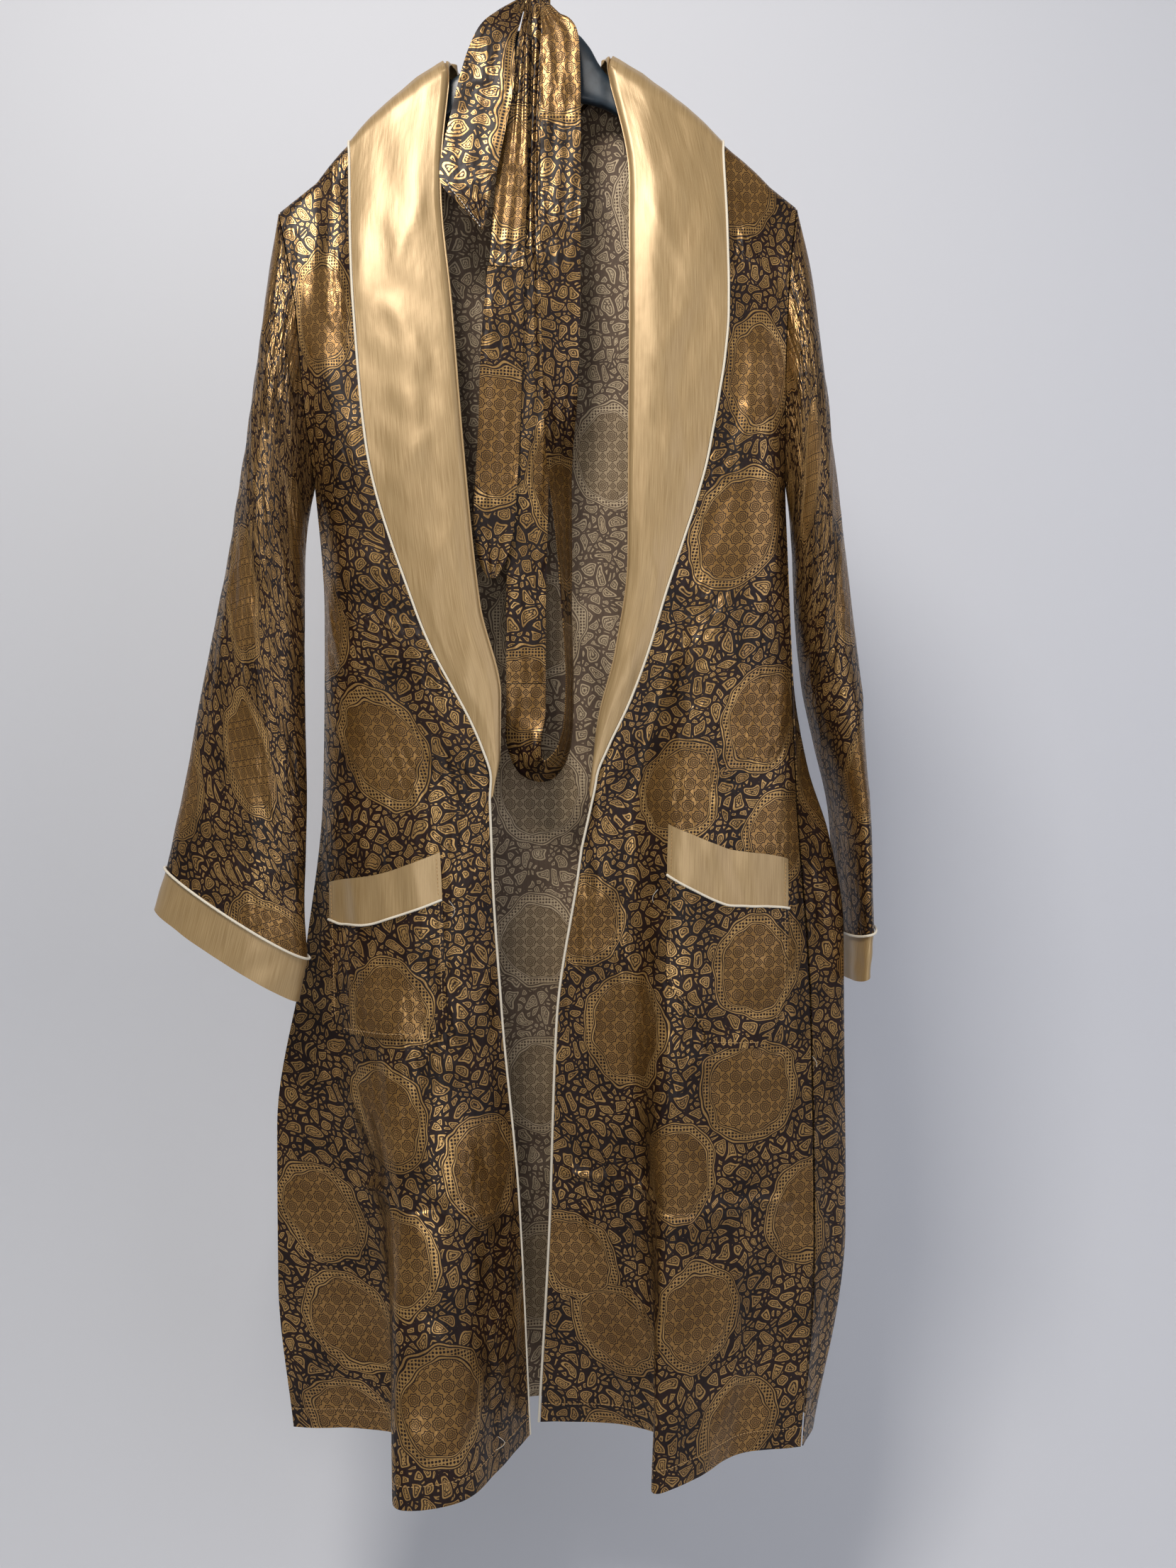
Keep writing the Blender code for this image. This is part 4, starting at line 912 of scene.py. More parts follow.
# Medallions and creases of the back, its ripples as for a front, and how far from a seam it is free
BACK_SPOTS = ((65, -448, 42, 54), (0, -903, 46, 48), (3, -1037, 40, 50))
BACK_CREASES = (
    (-230, -1114, -90, -1108, 5, 4.0), (-90, -1110, 20, -1116, 5, -3.0), (20, -1112, 160, -1106, 5, 4.0),
    (-40, -420, -36, -900, 9, 1.2), (44, -560, 40, -1180, 9, -1.3),
    (10, -1120, 14, -1325, 8, 1.4), (-20, -640, 30, -700, 8, 1.0))
BACK_RIPPLES = (5, 80, 1.0)
BACK_REACH = 24
lift = crease(back_cloth, BACK_CREASES) + ripple(back_cloth, 41, *BACK_RIPPLES)
back_grid = back_grid - normals(back_grid) * (lift * seam_fade(back_grid, BACK_REACH))[..., None]
back_spots = with_repeat(on_cloth(back_grid, back_cloth, BACK_SPOTS), back_cloth)
back = shell("robe_back", back_grid, back_cloth, -1, CLOTH, [satin_face, satin_wrong], spots=back_spots)
declare(["back"])

# %% [markdown]
# Each front is drawn back a little under its lapel, as the frame's wall is, so that the gold satin can
# roll over the edge without touching it.

# %% The fronts
# The frame's row that the lapels end on, the columns they lie on, and how far the front's edge is drawn
# back under them on its first rows, in mm
LAPEL_ROW = 16
LAPEL_COLUMNS = 4
EDGE_INSET = (12.0, 12.0, 12.0, 13.0, 6.0, 2.4)
RIGHT_SPOTS = (
    (-185, -345, 42, 62), (-132, -724, 44, 60), (-117, -932, 46, 50), (-125.5, -1036, 46, 52),
    (-41.6, -1081, 40, 52), (-192, -1135, 42, 50), (-166, -1234, 48, 50), (-72, -1258, 44, 52),
    (-110, -1150, 40, 46), (-196, -610, 44, 58), (-160, -1322, 44, 46))
LEFT_SPOTS = (
    (176.5, -530, 44, 60), (200, -696, 42, 52), (125, -760, 40, 50), (44, -873, 42, 44),
    (84.5, -968, 46, 56), (200, -897, 42, 50), (187, -1012, 50, 50), (122, -1081, 40, 46),
    (238, -1122, 46, 50), (139, -1197, 42, 50), (37, -1176, 42, 46), (74, -1241, 44, 46),
    (170, -1299, 46, 46), (196, -400, 42, 58), (214, -800, 38, 46))


def under_lapel(grid, cloth):
    """Grid and cloth with the last cell's columns drawn back from the edge under the lapel."""
    row = np.arange(len(grid)) / ROWS_FINE
    inset = np.interp(row, (0, 1, 2, 3, 4, 5, LAPEL_ROW - 1, LAPEL_ROW + 1), (*EDGE_INSET, 2.4, 0))
    inward = unit(grid[:, -2] - grid[:, -1])
    way = np.sign(cloth[0, -2, 0] - cloth[0, -1, 0])
    grid, cloth = grid.copy(), cloth.copy()
    for k in range(COLUMNS_FINE + 1):
        share = k / COLUMNS_FINE
        column = k - COLUMNS_FINE - 1
        grid[:, column] += inward * (inset * share)[:, None]
        cloth[:, column, 0] += way * inset * share
    return grid, cloth


for side, grid, cloth, facing, spots in (("right", right_grid, right_cloth, 1, RIGHT_SPOTS),
                                         ("left", left_grid, left_cloth, -1, LEFT_SPOTS)):
    placed = with_repeat(on_cloth(grid, cloth, spots), cloth)
    drawn, drawn_cloth = under_lapel(grid, cloth)
    front = shell(f"robe_{side}_front", drawn, drawn_cloth, facing, CLOTH, [satin_face, satin_wrong],
                  spots=placed)
    declare([f"{side}_front"])

# %% [markdown]
# A collar half is one strip of gold satin. Its lapel lies on the front, stands off it in a soft swell, rolls
# over the edge and turns in behind. Past the shoulder it becomes the fall at the back of the neck, with a
# stand inside it. Soft diagonal folds run from the roll towards the outer edge.

# %% Collar surfaces
# How far a lapel stands off the front at each column, how it rolls over the edge and lies behind it
# (steps along and off the front), the same where it stays above the hanger's arm, and how much of that
# form each row has
LAPEL_LIFT = (0.0, 1.7, 3.2, 3.6, 1.8)
ROLL = ((0.0, 0.0), (2.6, 0.0), (0.4, -2.6), (-6.0, -2.4), (-12.0, -1.5))
SHOULDER_ROLL = ((0.0, 0.0), (2.6, 9.0), (4.4, 7.6), (5.2, 6.0), (5.6, 4.4))
SHOULDER_ROLL_ROWS = (1.0, 0.8, 0.35, 0.0)
# How much further a lapel stands off at the shoulder in mm, and for how many rows
SHOULDER_LIFT = 8
SHOULDER_LIFT_ROWS = 5
# Width in mm below which a lapel lies flatter, how much its end is pinched, and over how many rows
NARROW_LAPEL = 30
LAPEL_PINCH = 0.85
PINCH_ROWS = 3.5
# Cells between two steps of a roll, shares of the way from the shoulder to the middle of the back, the
# fall's outward bow in mm, and the roll's turn into the stand: steps backwards and up
ROLL_FINE = 3
COLLAR_BACK_SHARES = (0.0, 0.04, 0.09, 0.2, 0.35, 0.5, 0.67, 0.84, 1.0)
COLLAR_BOW = 4.5
ROLL_TURN = ((-1.8, 0.6), (-4.0, -4.0))
WIDE = LAPEL_COLUMNS * COLUMNS_FINE


def lapel(grid, out):
    """Lapel rows from the shoulder down: laid on the front with a swell, then rolled over its edge."""
    count = LAPEL_ROW * ROWS_FINE + 1
    row = np.arange(count) / ROWS_FINE
    place = grid[:count, -WIDE - 1:]
    normal = out[:count, -WIDE - 1:]
    narrow = np.clip(np.linalg.norm(place[:, 0] - place[:, -1], axis=1) / NARROW_LAPEL, 0, 1)[:, None]
    raised = SHOULDER_LIFT * np.clip(1 - row / SHOULDER_LIFT_ROWS, 0, 1)[:, None] ** 2
    share = np.linspace(0, 1, WIDE + 1)[None]
    swell = np.interp(share, np.linspace(0, 1, len(LAPEL_LIFT)), LAPEL_LIFT)
    laid = place + normal * (LIE_ON + swell * narrow + raised * share)[..., None]
    edge = place[:, -1]
    way = unit(edge - place[:, -2])
    above_arm = np.interp(row, range(len(SHOULDER_ROLL_ROWS)), SHOULDER_ROLL_ROWS)[:, None]
    keyed = [(k, *low, *top) for k, (low, top) in enumerate(zip(ROLL, SHOULDER_ROLL))]
    pinch = LAPEL_PINCH * np.clip((row - LAPEL_ROW + PINCH_ROWS) / PINCH_ROWS, 0, 1)[:, None, None] ** 2
    laid += (laid[:, -1:] - laid) * pinch
    rolled = []
    for along, off, along_top, off_top in follow(keyed, np.arange(1, 4 * ROLL_FINE + 1) / ROLL_FINE):
        step = along * (narrow if along < 0 else 1) * (1 - above_arm) + along_top * above_arm
        rolled.append(edge + way * step + normal[:, -1] * (off * (1 - above_arm) + off_top * above_arm))
    return np.concatenate([laid, np.stack(rolled, axis=1)], axis=1)


def collar_back(table, top_row):
    """Back rows of a collar half: the fall bows outwards, the roll turns, and the stand ends inside."""
    first = (0.0, *top_row[0], *top_row[WIDE], *top_row[-1])
    fine = np.arange(1, (len(COLLAR_BACK_SHARES) - 1) * ROWS_FINE + 1) / ROWS_FINE
    share = np.interp(fine, range(len(COLLAR_BACK_SHARES)), COLLAR_BACK_SHARES)
    place = follow((first, *table), share)
    outer, roll, foot = place[:, None, :3], place[:, None, 3:6], place[:, None, 6:]
    t = np.linspace(0, 1, WIDE + 1)[None, :, None]
    fall = outer * (1 - t) + roll * t
    fall[:, :, 1:] += COLLAR_BOW * np.sin(math.pi * t) * np.array([0.6, 0.8])
    stand = np.clip(share * 1.5 - 0.1, 0, 1)[:, None, None]
    start = top_row[[WIDE + ROLL_FINE, WIDE + 2 * ROLL_FINE]] - top_row[WIDE]
    turned = np.array([(0.0, *step) for step in ROLL_TURN])
    turn = roll + start[None] * (1 - stand) + turned[None] * stand
    inner = np.concatenate([roll, turn, (turn[:, 1:] + foot) / 2, foot], axis=1)
    return np.concatenate([fall, refine(inner, ROLL_FINE)[:, 1:]], axis=1)


def arcs(grid, column, ring=False):
    """Flat place by arc lengths: across from one column, and down along that column."""
    if ring:
        grid = np.concatenate([grid, grid[:, :1]], axis=1)
    step = np.linalg.norm(np.diff(grid, axis=1), axis=2)
    u = np.concatenate([np.zeros((len(grid), 1)), np.cumsum(step, axis=1)], axis=1)
    down = np.linalg.norm(np.diff(grid[:, column], axis=0), axis=1)
    v = -np.concatenate([[0.0], np.cumsum(down)])[:, None]
    return np.stack([u - u[:, column:column + 1], np.broadcast_to(v, u.shape)], axis=-1)


# Back of a collar half: share of the way, then x, y, z of the fall's outer edge, the roll and the foot
RIGHT_COLLAR_BACK = (
    (0.04, -161.5, 6, -180.6, -76, 3, -110.8, -70.5, 4, -117),
    (0.09, -160, 15, -184, -76, 8, -110.5, -70, 8, -119),
    (0.2, -156, 21, -198, -75, 15, -110, -65, 13, -125),
    (0.5, -120, 32, -208, -62, 30, -107, -50, 22.5, -138),
    (0.75, -66, 46, -212, -35, 40, -106, -30, 32, -150),
    (1.0, -0.9, 50, -213, -0.9, 46, -106, -0.9, 37, -157))
LEFT_COLLAR_BACK = (
    (0.04, 163.5, 6, -180.6, 65, 3, -106.8, 58.8, 4, -113),
    (0.09, 162, 15, -184, 65, 8, -106.5, 58.5, 8, -115),
    (0.2, 158, 21, -198, 65, 15, -106.5, 55, 13, -121),
    (0.5, 121, 32, -208, 57, 30, -106, 42, 22, -136),
    (0.75, 66, 46, -212, 34, 40, -106, 26, 32, -149),
    (1.0, 0.9, 50, -213, 0.9, 46, -106, 0.9, 37, -157))
# Folds on the lapels: across from the roll and down from the lapel's end, both ends, width, height
COLLAR_CREASES = (
    (-70, -60, -8, -150, 8, 1.4), (-62, -190, -6, -250, 9, 1.2), (-74, -300, -20, -330, 9, 1.4),
    (-50, -100, -30, -420, 12, 1.2), (-20, -380, -66, -470, 9, 1.3), (-60, -470, -10, -540, 8, 1.0))


def collar_surface(grid, out, table, facing, seed):
    """A collar half from the lapel's end to the middle of the back, with its folds."""
    laid = lapel(grid, out)
    surface = np.concatenate([laid[::-1], collar_back(table, laid[0])])
    cloth = arcs(surface, WIDE)
    rows = np.clip(-cloth[..., 1] / 60, 0, 1) * np.clip((cloth[-1:, :, 1] - cloth[..., 1]) / -60, 0, 1)
    span = np.clip(-cloth[..., 0] / 16, 0, 1) * np.clip((cloth[..., 0] - cloth[:, :1, 0]) / 10, 0, 1)
    lift = crease(cloth, COLLAR_CREASES) + 0.5 + ripple(cloth, seed, 5, 34, 0.4, lean=0.5)
    return surface + normals(surface) * (facing * rows * span * np.maximum(lift, -0.3))[..., None], cloth


right_collar, right_collar_cloth = collar_surface(right_grid, right_out, RIGHT_COLLAR_BACK, -1, 51)
left_collar, left_collar_cloth = collar_surface(left_grid, left_out, LEFT_COLLAR_BACK, 1, 57)
print("collar grids", right_collar.shape, left_collar.shape)

# %% [markdown]
# Piping, threads and the hook are tubes. A tube's rings are square to its path, and an up direction keeps
# them from twisting. Faces are laid round any stack of rings in the same way.

# %% Tubes
def ring_faces(rings, sides, closed=False):
    """Faces round a stack of rings whose points are numbered ring by ring, joined end to end if closed."""
    number = np.arange(rings * sides).reshape(rings, sides)
    wrapped = np.column_stack([number, number[:, 0]])
    if closed:
        wrapped = np.concatenate([wrapped, wrapped[:1]])
    faces = np.stack([wrapped[:-1, :-1], wrapped[1:, :-1], wrapped[1:, 1:], wrapped[:-1, 1:]], -1)
    return number, faces.reshape(-1, 4)


def tube(name, path, radius, surface_material, sides=10, closed=False, up=(0, -1, 0)):
    """Round tube along a path in mm, with flat ends unless it is closed."""
    path = np.asarray(path, dtype=float)
    heading = np.roll(path, -1, axis=0) - np.roll(path, 1, axis=0) if closed else np.gradient(path, axis=0)
    one_way = unit(np.cross(unit(heading), np.asarray(up, dtype=float)))
    other_way = np.cross(one_way, unit(heading))
    turn = np.linspace(0, 2 * math.pi, sides, endpoint=False)[None, :, None]
    radius = np.broadcast_to(np.asarray(radius, dtype=float).reshape(-1, 1, 1), (len(path), 1, 1))
    rings = path[:, None] + radius * (np.cos(turn) * one_way[:, None] + np.sin(turn) * other_way[:, None])
    number, faces = ring_faces(len(path), sides, closed)
    faces = faces[:, [0, 3, 2, 1]]
    if not closed:
        pairs = [(0, k, k + 1, k + 2) for k in range(1, sides - 2, 2)]
        lids = [number[0][::-1][list(pair)] for pair in pairs] + [number[-1][list(pair)] for pair in pairs]
        faces = np.concatenate([faces, np.array(lids)])
    return make(name, rings.reshape(-1, 3), faces, [surface_material])


def piping(name, node, path, **shape):
    """Cream cord along a seam, in place of one of the frame's piping nodes."""
    cord = tube(name, path, PIPING_RADIUS, piping_cream, **shape)
    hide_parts(node)


# How far off the front the edge piping is on its first rows below the lapel, in mm
PIPING_DROP = (2.6, 1.4, 0.4, 0.0)


def edge_piping(side, grid, out, surface):
    """Piping from the middle of the back, round the collar's outer edge and down the front to the hem."""
    clear = SEAM_GAP + PIPING_RADIUS + 0.1
    count = LAPEL_ROW * ROWS_FINE + 1
    start = count + ROWS_FINE - 1
    edge = surface[:, 0]
    away = unit(edge - surface[:, 1])
    raised = np.tile(np.array([0.0, 0.7, 0.0]), (len(edge), 1))
    facing = normals(surface)[:, 0]
    facing *= np.sign(np.sum(facing[0] * out[count - 1, -WIDE - 1]))
    raised[:count] = out[:count, -WIDE - 1][::-1] * (PIPING_RADIUS + SEAM_GAP - WALL / 2)
    on_collar = (edge + away * clear + raised)[::-1]
    below = grid[start:, -1]
    sideways = unit(below - grid[start:, -2])
    row = np.arange(len(below)) / ROWS_FINE
    drop = np.interp(row, range(len(PIPING_DROP)), PIPING_DROP)
    down_front = below + sideways * clear + out[start:, -1] * drop[:, None]
    turn = np.linspace(0, 1, ROWS_FINE + 1)[1:-1, None]
    joint = on_collar[-1] * (1 - turn) + down_front[0] * turn
    up = np.concatenate([facing[::-1], np.repeat(facing[:1], len(joint), axis=0), out[start:, -1]])
    path = np.concatenate([on_collar, joint, down_front])
    piping(f"edge_piping_{side}", f"{side}_edge_piping", path, up=up)


for side, grid, out, surface, cloth, facing in (
        ("right", right_grid, right_out, right_collar, right_collar_cloth, -1),
        ("left", left_grid, left_out, left_collar, left_collar_cloth, 1)):
    edge_piping(side, grid, out, surface)
    collar = shell(f"robe_{side}_collar", surface, cloth, facing, CLOTH, [gold_face])
    declare([f"{side}_collar"])

# %% [markdown]
# A patch pocket is made from the front's own surface, moved out. It sags: tables give how far the band's top
# and the seam below it lie above the frame's rows, in mm, from the outer end to the inner one. A second
# table gives the pouch's two sides as it goes down: the right one has rounded corners, and the inner corner
# of the left one is cut by a long slant.

# %% Pocket outlines
# Each pocket: its outer and inner column, and the rows of its top, its seam and its bottom, all counted
# in the frame's own columns and rows, of which a row is this high in mm
RIGHT_POCKET = (2, 9, 17, 18, 20.05)
LEFT_POCKET = (2, 8, 16, 17, 20.2)
ROW_STEP = 45.8
# Share of the way inwards, then how far the band's top and its seam are raised, in mm
RIGHT_SAG = ((0, -3, 9), (0.15, -2, 4), (0.35, 0, 4), (0.6, 5, 10), (1, 19, 24))
LEFT_SAG = ((0, -25, -23), (0.5, -19, -22), (0.75, -10, -12), (1, 0, 2))
# Share of the way down a pouch, then the columns of its outer and inner side
RIGHT_POUCH_SIDES = ((0, 2, 9), (0.84, 2, 9), (0.93, 2.08, 8.92), (0.98, 2.3, 8.7), (1, 2.6, 8.4))
LEFT_POUCH_SIDES = ((0, 2, 8), (0.56, 2, 8), (0.78, 2.45, 6.9), (0.91, 2.9, 6.1), (1, 3.5, 6.05))
# How far a pocket swells in mm, rows of its pouch and its band, the height of the band's waves in mm, and
# how far off on the cloth the pouch was cut
POCKET_BOW = 2.0
POUCH_ROWS = 26
BAND_ROWS = 12
BAND_WAVE = 0.8
POUCH_SHIFT = (9.0, 14.0)


def sample(grid, row, column):
    """Values between a grid's rows and columns: its four nearest points, each weighed by its nearness."""
    r = np.clip(row.astype(int), 0, grid.shape[0] - 2)
    c = np.clip(column.astype(int), 0, grid.shape[1] - 2)
    down, over = (row - r)[..., None], (column - c)[..., None]
    upper = grid[r, c] * (1 - over) + grid[r, c + 1] * over
    lower = grid[r + 1, c] * (1 - over) + grid[r + 1, c + 1] * over
    return upper * (1 - down) + lower * down


def pocket_places(place, sag, sides):
    """Fine rows and columns of the pouch and of its band: share by share from the outer end to the inner."""
    outer, inner, top, seam, end = place
    share = np.linspace(0, 1, (inner - outer) * COLUMNS_FINE + 1)
    shift = follow(sag, share) / ROW_STEP
    top_row, seam_row = top - shift[:, 0], seam - shift[:, 1]
    t = np.linspace(0, 1, POUCH_ROWS)[:, None]
    side = follow(sides, t[:, 0])
    pouch_row = seam_row + (end - seam_row) * t
    pouch_column = side[:, :1] * (1 - share) + side[:, 1:] * share
    t = np.linspace(0, 1, BAND_ROWS)[:, None]
    band_row = top_row + (seam_row - top_row) * t
    band_column = np.broadcast_to(outer + (inner - outer) * share, band_row.shape)
    pouch, band = (pouch_row, pouch_column), (band_row, band_column)
    return [(row * ROWS_FINE, column * COLUMNS_FINE) for row, column in (pouch, band)]


print("pocket widths in frame columns:", RIGHT_POCKET[1] - RIGHT_POCKET[0], LEFT_POCKET[1] - LEFT_POCKET[0])

# %% [markdown]
# Each pocket is then three pieces: the printed pouch, swelling a little at its top, the gold band above it
# with its own soft waves, and a piping that fills the seam between them.

# %% Pockets
pocket_parts = {}
for side, grid, cloth, out, facing, place, sag, sides, spots in (
        ("right", right_grid, right_cloth, right_out, 1, RIGHT_POCKET, RIGHT_SAG, RIGHT_POUCH_SIDES,
         RIGHT_SPOTS),
        ("left", left_grid, left_cloth, left_out, -1, LEFT_POCKET, LEFT_SAG, LEFT_POUCH_SIDES,
         LEFT_SPOTS)):
    on_pouch, on_band = pocket_places(place, sag, sides)
    share = np.linspace(0, 1, on_band[0].shape[1])
    bow = POCKET_BOW * np.sin(math.pi * share)[None, :, None]
    fade = np.linspace(1, 0, POUCH_ROWS)[:, None, None]
    pouch = sample(grid, *on_pouch) + unit(sample(out, *on_pouch)) * (LIE_ON + bow * fade)
    pouch[0] += unit(pouch[1] - pouch[0]) * SEAM_GAP * 2
    pouch_cloth = sample(cloth, *on_pouch) + np.array(POUCH_SHIFT)
    placed = with_repeat(on_cloth(grid, cloth, spots), cloth)
    piece = shell(f"robe_{side}_pocket", pouch, pouch_cloth, facing, CLOTH, [satin_face, satin_wrong],
                  spots=placed)
    declare([f"{side}_pocket"])
    band_cloth = sample(cloth, *on_band)
    waves = np.maximum(ripple(band_cloth, 71, 4, 26, BAND_WAVE, lean=0.35) + BAND_WAVE, 0)[..., None]
    band_out = unit(sample(out, *on_band))
    band = sample(grid, *on_band) + band_out * (LIE_ON + bow + waves * np.sqrt(bow / POCKET_BOW))
    piece = shell(f"robe_{side}_pocket_band", band, band_cloth, facing, CLOTH, [gold_face])
    declare([f"{side}_pocket_band"])
    line = band[-1] + band_out[-1] * (WALL / 2 + SEAM_GAP + PIPING_RADIUS)
    piping(f"pocket_piping_{side}", f"{side}_pocket_piping", line, up=(0, 0, 1))
    pocket_parts[side] = (pouch, band, facing)

# %% [markdown]
# A sleeve is a stack of rings. A ring's two ends follow two lines, the outer fold and the underarm seam,
# and its front and back stand off the line between them. The first rings keep to the armhole.

# %% Sleeve tables
# Rings of a sleeve: x, z, y of the outer end, x, z, y of the inner end, then depth in front and behind
RIGHT_SLEEVE = (
    (-227, -247, 0, -196, -490, -2, 22, 22),
    (-236, -300, 0, -199, -508, -6, 30, 26),
    (-243, -365, -2, -202, -545, -14, 36, 26),
    (-252, -440, -6, -200, -600, -26, 36, 24),
    (-266, -545, -14, -197, -690, -36, 34, 22),
    (-283, -650, -24, -194, -780, -42, 32, 20),
    (-300, -755, -34, -195, -850, -46, 30, 20),
    (-313, -825, -40, -192, -902, -48, 26, 20))
RIGHT_CUFF_END = (-323, -860, -42, -200, -938, -48, 25, 20)
LEFT_SLEEVE = (
    (232, -243, 0, 222, -490, -7, 22, 22),
    (244, -296, 2, 226, -512, -5, 34, 32),
    (256, -380, 6, 230, -545, -2, 42, 42),
    (268, -480, 12, 234, -600, 4, 46, 54),
    (283, -590, 20, 242, -660, 14, 52, 66),
    (293, -680, 30, 258, -720, 26, 60, 74),
    (300, -780, 38, 277, -790, 36, 62, 76),
    (303, -880, 42, 284, -890, 42, 64, 72))
LEFT_CUFF_END = (299, -920, 42, 283, -930, 42, 62, 68)
SLEEVE_SPOTS = {
    "right": ((-204, -547, 40, 60), (-236, -733, 42, 56), (-245, -594, 42, 58)),
    "left": ((262, -475, 40, 52), (276, -585, 42, 54), (292, -745, 42, 54))}
# Columns round a sleeve, its rows, and how much of the armhole's own form its first rows have
SLEEVE_COLUMNS = 16
SLEEVE_ROWS = 14
ARMHOLE_FADE = (1.0, 0.5, 0.2, 0.0)
print("rings in the sleeve tables:", len(RIGHT_SLEEVE), len(LEFT_SLEEVE))

# %% [markdown]
# Sleeve, cuff and cuff piping are built together for each side. Creases gather at the elbow and near the
# armhole, and are weaker on the side that faces the body. The cuff carries on from the sleeve's last ring.

# %% Sleeves and cuffs
def sleeve_rings(rows, count):
    """Rings between a table's rows: the middle of the two ends, plus half their span times a cosine, with
    the front and back moved out by their own depths times a sine."""
    row = stations(rows, (count - 1) * ROWS_FINE + 1)
    outer = row[:, None, [0, 2, 1]]
    inner = row[:, None, [3, 5, 4]]
    turn = np.linspace(0, 2 * math.pi, SLEEVE_COLUMNS * COLUMNS_FINE, endpoint=False)
    ring = (outer + inner) / 2 + (outer - inner) / 2 * np.cos(turn)[None, :, None]
    ring[:, :, 1] -= np.clip(np.sin(turn), 0, 1)[None] * row[:, 6:7]
    ring[:, :, 1] += np.clip(-np.sin(turn), 0, 1)[None] * row[:, 7:8]
    return ring


def armhole(front_line, back_line, ring, outward):
    """Ring just outside the edges of the front and the back, at the heights of a sleeve's first ring."""
    foot = len(ring) // 2
    height = ring[:, 2]
    on_front = follow(front_line, height)
    on_back = follow(back_line, height)
    place = np.where((np.arange(len(ring)) <= foot)[:, None], on_front, on_back)
    drop = np.clip((height.max() - height) / SHOULDER_ROUND, 0, 1)
    place[:, 1] *= RIDGE_START + (1 - RIDGE_START) * np.sqrt(1 - (1 - drop) ** 2)
    place[foot] = (on_front[foot] + on_back[foot]) / 2
    return np.column_stack([place[:, 0] + outward * SEAM_GAP * 4, place[:, 1], height])


SLEEVE_CREASES = (
    (20, -150, 110, -240, 9, 1.6), (30, -260, 120, -330, 9, 1.4), (16, -420, 120, -470, 8, 1.4),
    (60, -60, 84, -330, 12, 1.4), (96, -300, 90, -560, 12, -1.2), (40, -520, 110, -545, 7, 1.0))
# Shares of a sleeve's length over which its folds die out at the armhole and at the cuff
END_FADES = (0.06, 0.05)
CUFF_THICKNESS = 1.0

for side, rows, cuff_end, lines, facing, seed in (
        ("right", RIGHT_SLEEVE, RIGHT_CUFF_END, (RIGHT_SIDE, BACK_RIGHT_SEAM), 1, 83),
        ("left", LEFT_SLEEVE, LEFT_CUFF_END, (LEFT_SIDE, BACK_LEFT_SEAM), -1, 89)):
    rings = sleeve_rings(rows, SLEEVE_ROWS)
    shift = armhole(*lines, rings[0], -facing) - rings[0]
    keep = np.interp(np.arange(len(rings)) / ROWS_FINE, range(len(ARMHOLE_FADE)), ARMHOLE_FADE)
    rings = rings + shift[None] * keep[:, None, None]
    cuff = sleeve_rings((rows[-1], cuff_end), 3)
    cuff[0] += unit(cuff[1] - cuff[0]) * SEAM_GAP
    cloth = arcs(rings, 0, ring=True)
    cloth[..., 1] += rings[0, 0, 2]
    lift = crease(cloth[:, :-1] - np.array([0.0, rings[0, 0, 2]]), SLEEVE_CREASES)
    lift += ripple(cloth[:, :-1], seed, 5, 40, 0.8, lean=0.5)
    row = np.arange(len(rings))[:, None] / len(rings)
    ends = np.clip(row / END_FADES[0], 0, 1) * np.clip((1 - row) / END_FADES[1], 0, 1)
    around = np.linspace(0, 2 * math.pi, rings.shape[1], endpoint=False)[None]
    free = 0.25 + 0.75 * np.clip(0.35 + np.cos(around), 0, 1)
    out = normals(rings, ring=True) * facing
    folded = rings + out * (lift * ends * free)[..., None]
    half = rings.shape[1] // 2
    spots = on_cloth(folded[:, :half], cloth[:, :half], SLEEVE_SPOTS[side])
    piece = shell(f"robe_{side}_sleeve", folded, cloth, facing, CLOTH, [satin_face, satin_wrong], ring=True,
                  spots=with_repeat(spots, cloth))
    declare([f"{side}_sleeve"])
    cuff_cloth = arcs(cuff, 0, ring=True)
    cuff_out = normals(cuff, ring=True) * facing
    wave = ripple(cuff_cloth[:, :-1], seed + 3, 4, 30, 0.5, lean=0.5)
    inner = np.clip(np.arange(len(cuff)) / 4, 0, 1)[:, None]
    piece = shell(f"robe_{side}_cuff", cuff + cuff_out * (wave * inner)[..., None], cuff_cloth, facing,
                  CUFF_THICKNESS, [gold_face], ring=True)
    declare([f"{side}_cuff"])
    path = rings[-1] + out[-1] * (WALL / 2 + SEAM_GAP + PIPING_RADIUS + 0.1)
    piping(f"cuff_piping_{side}", f"{side}_cuff_piping", path, closed=True, up=(0, 0, 1))

# %% [markdown]
# The belt is a flat tube of the same satin, hung doubled over the hook's stem. It is gathered there and
# spreads downwards, so its pleats are deep and many at the top and fade into a few soft ones.

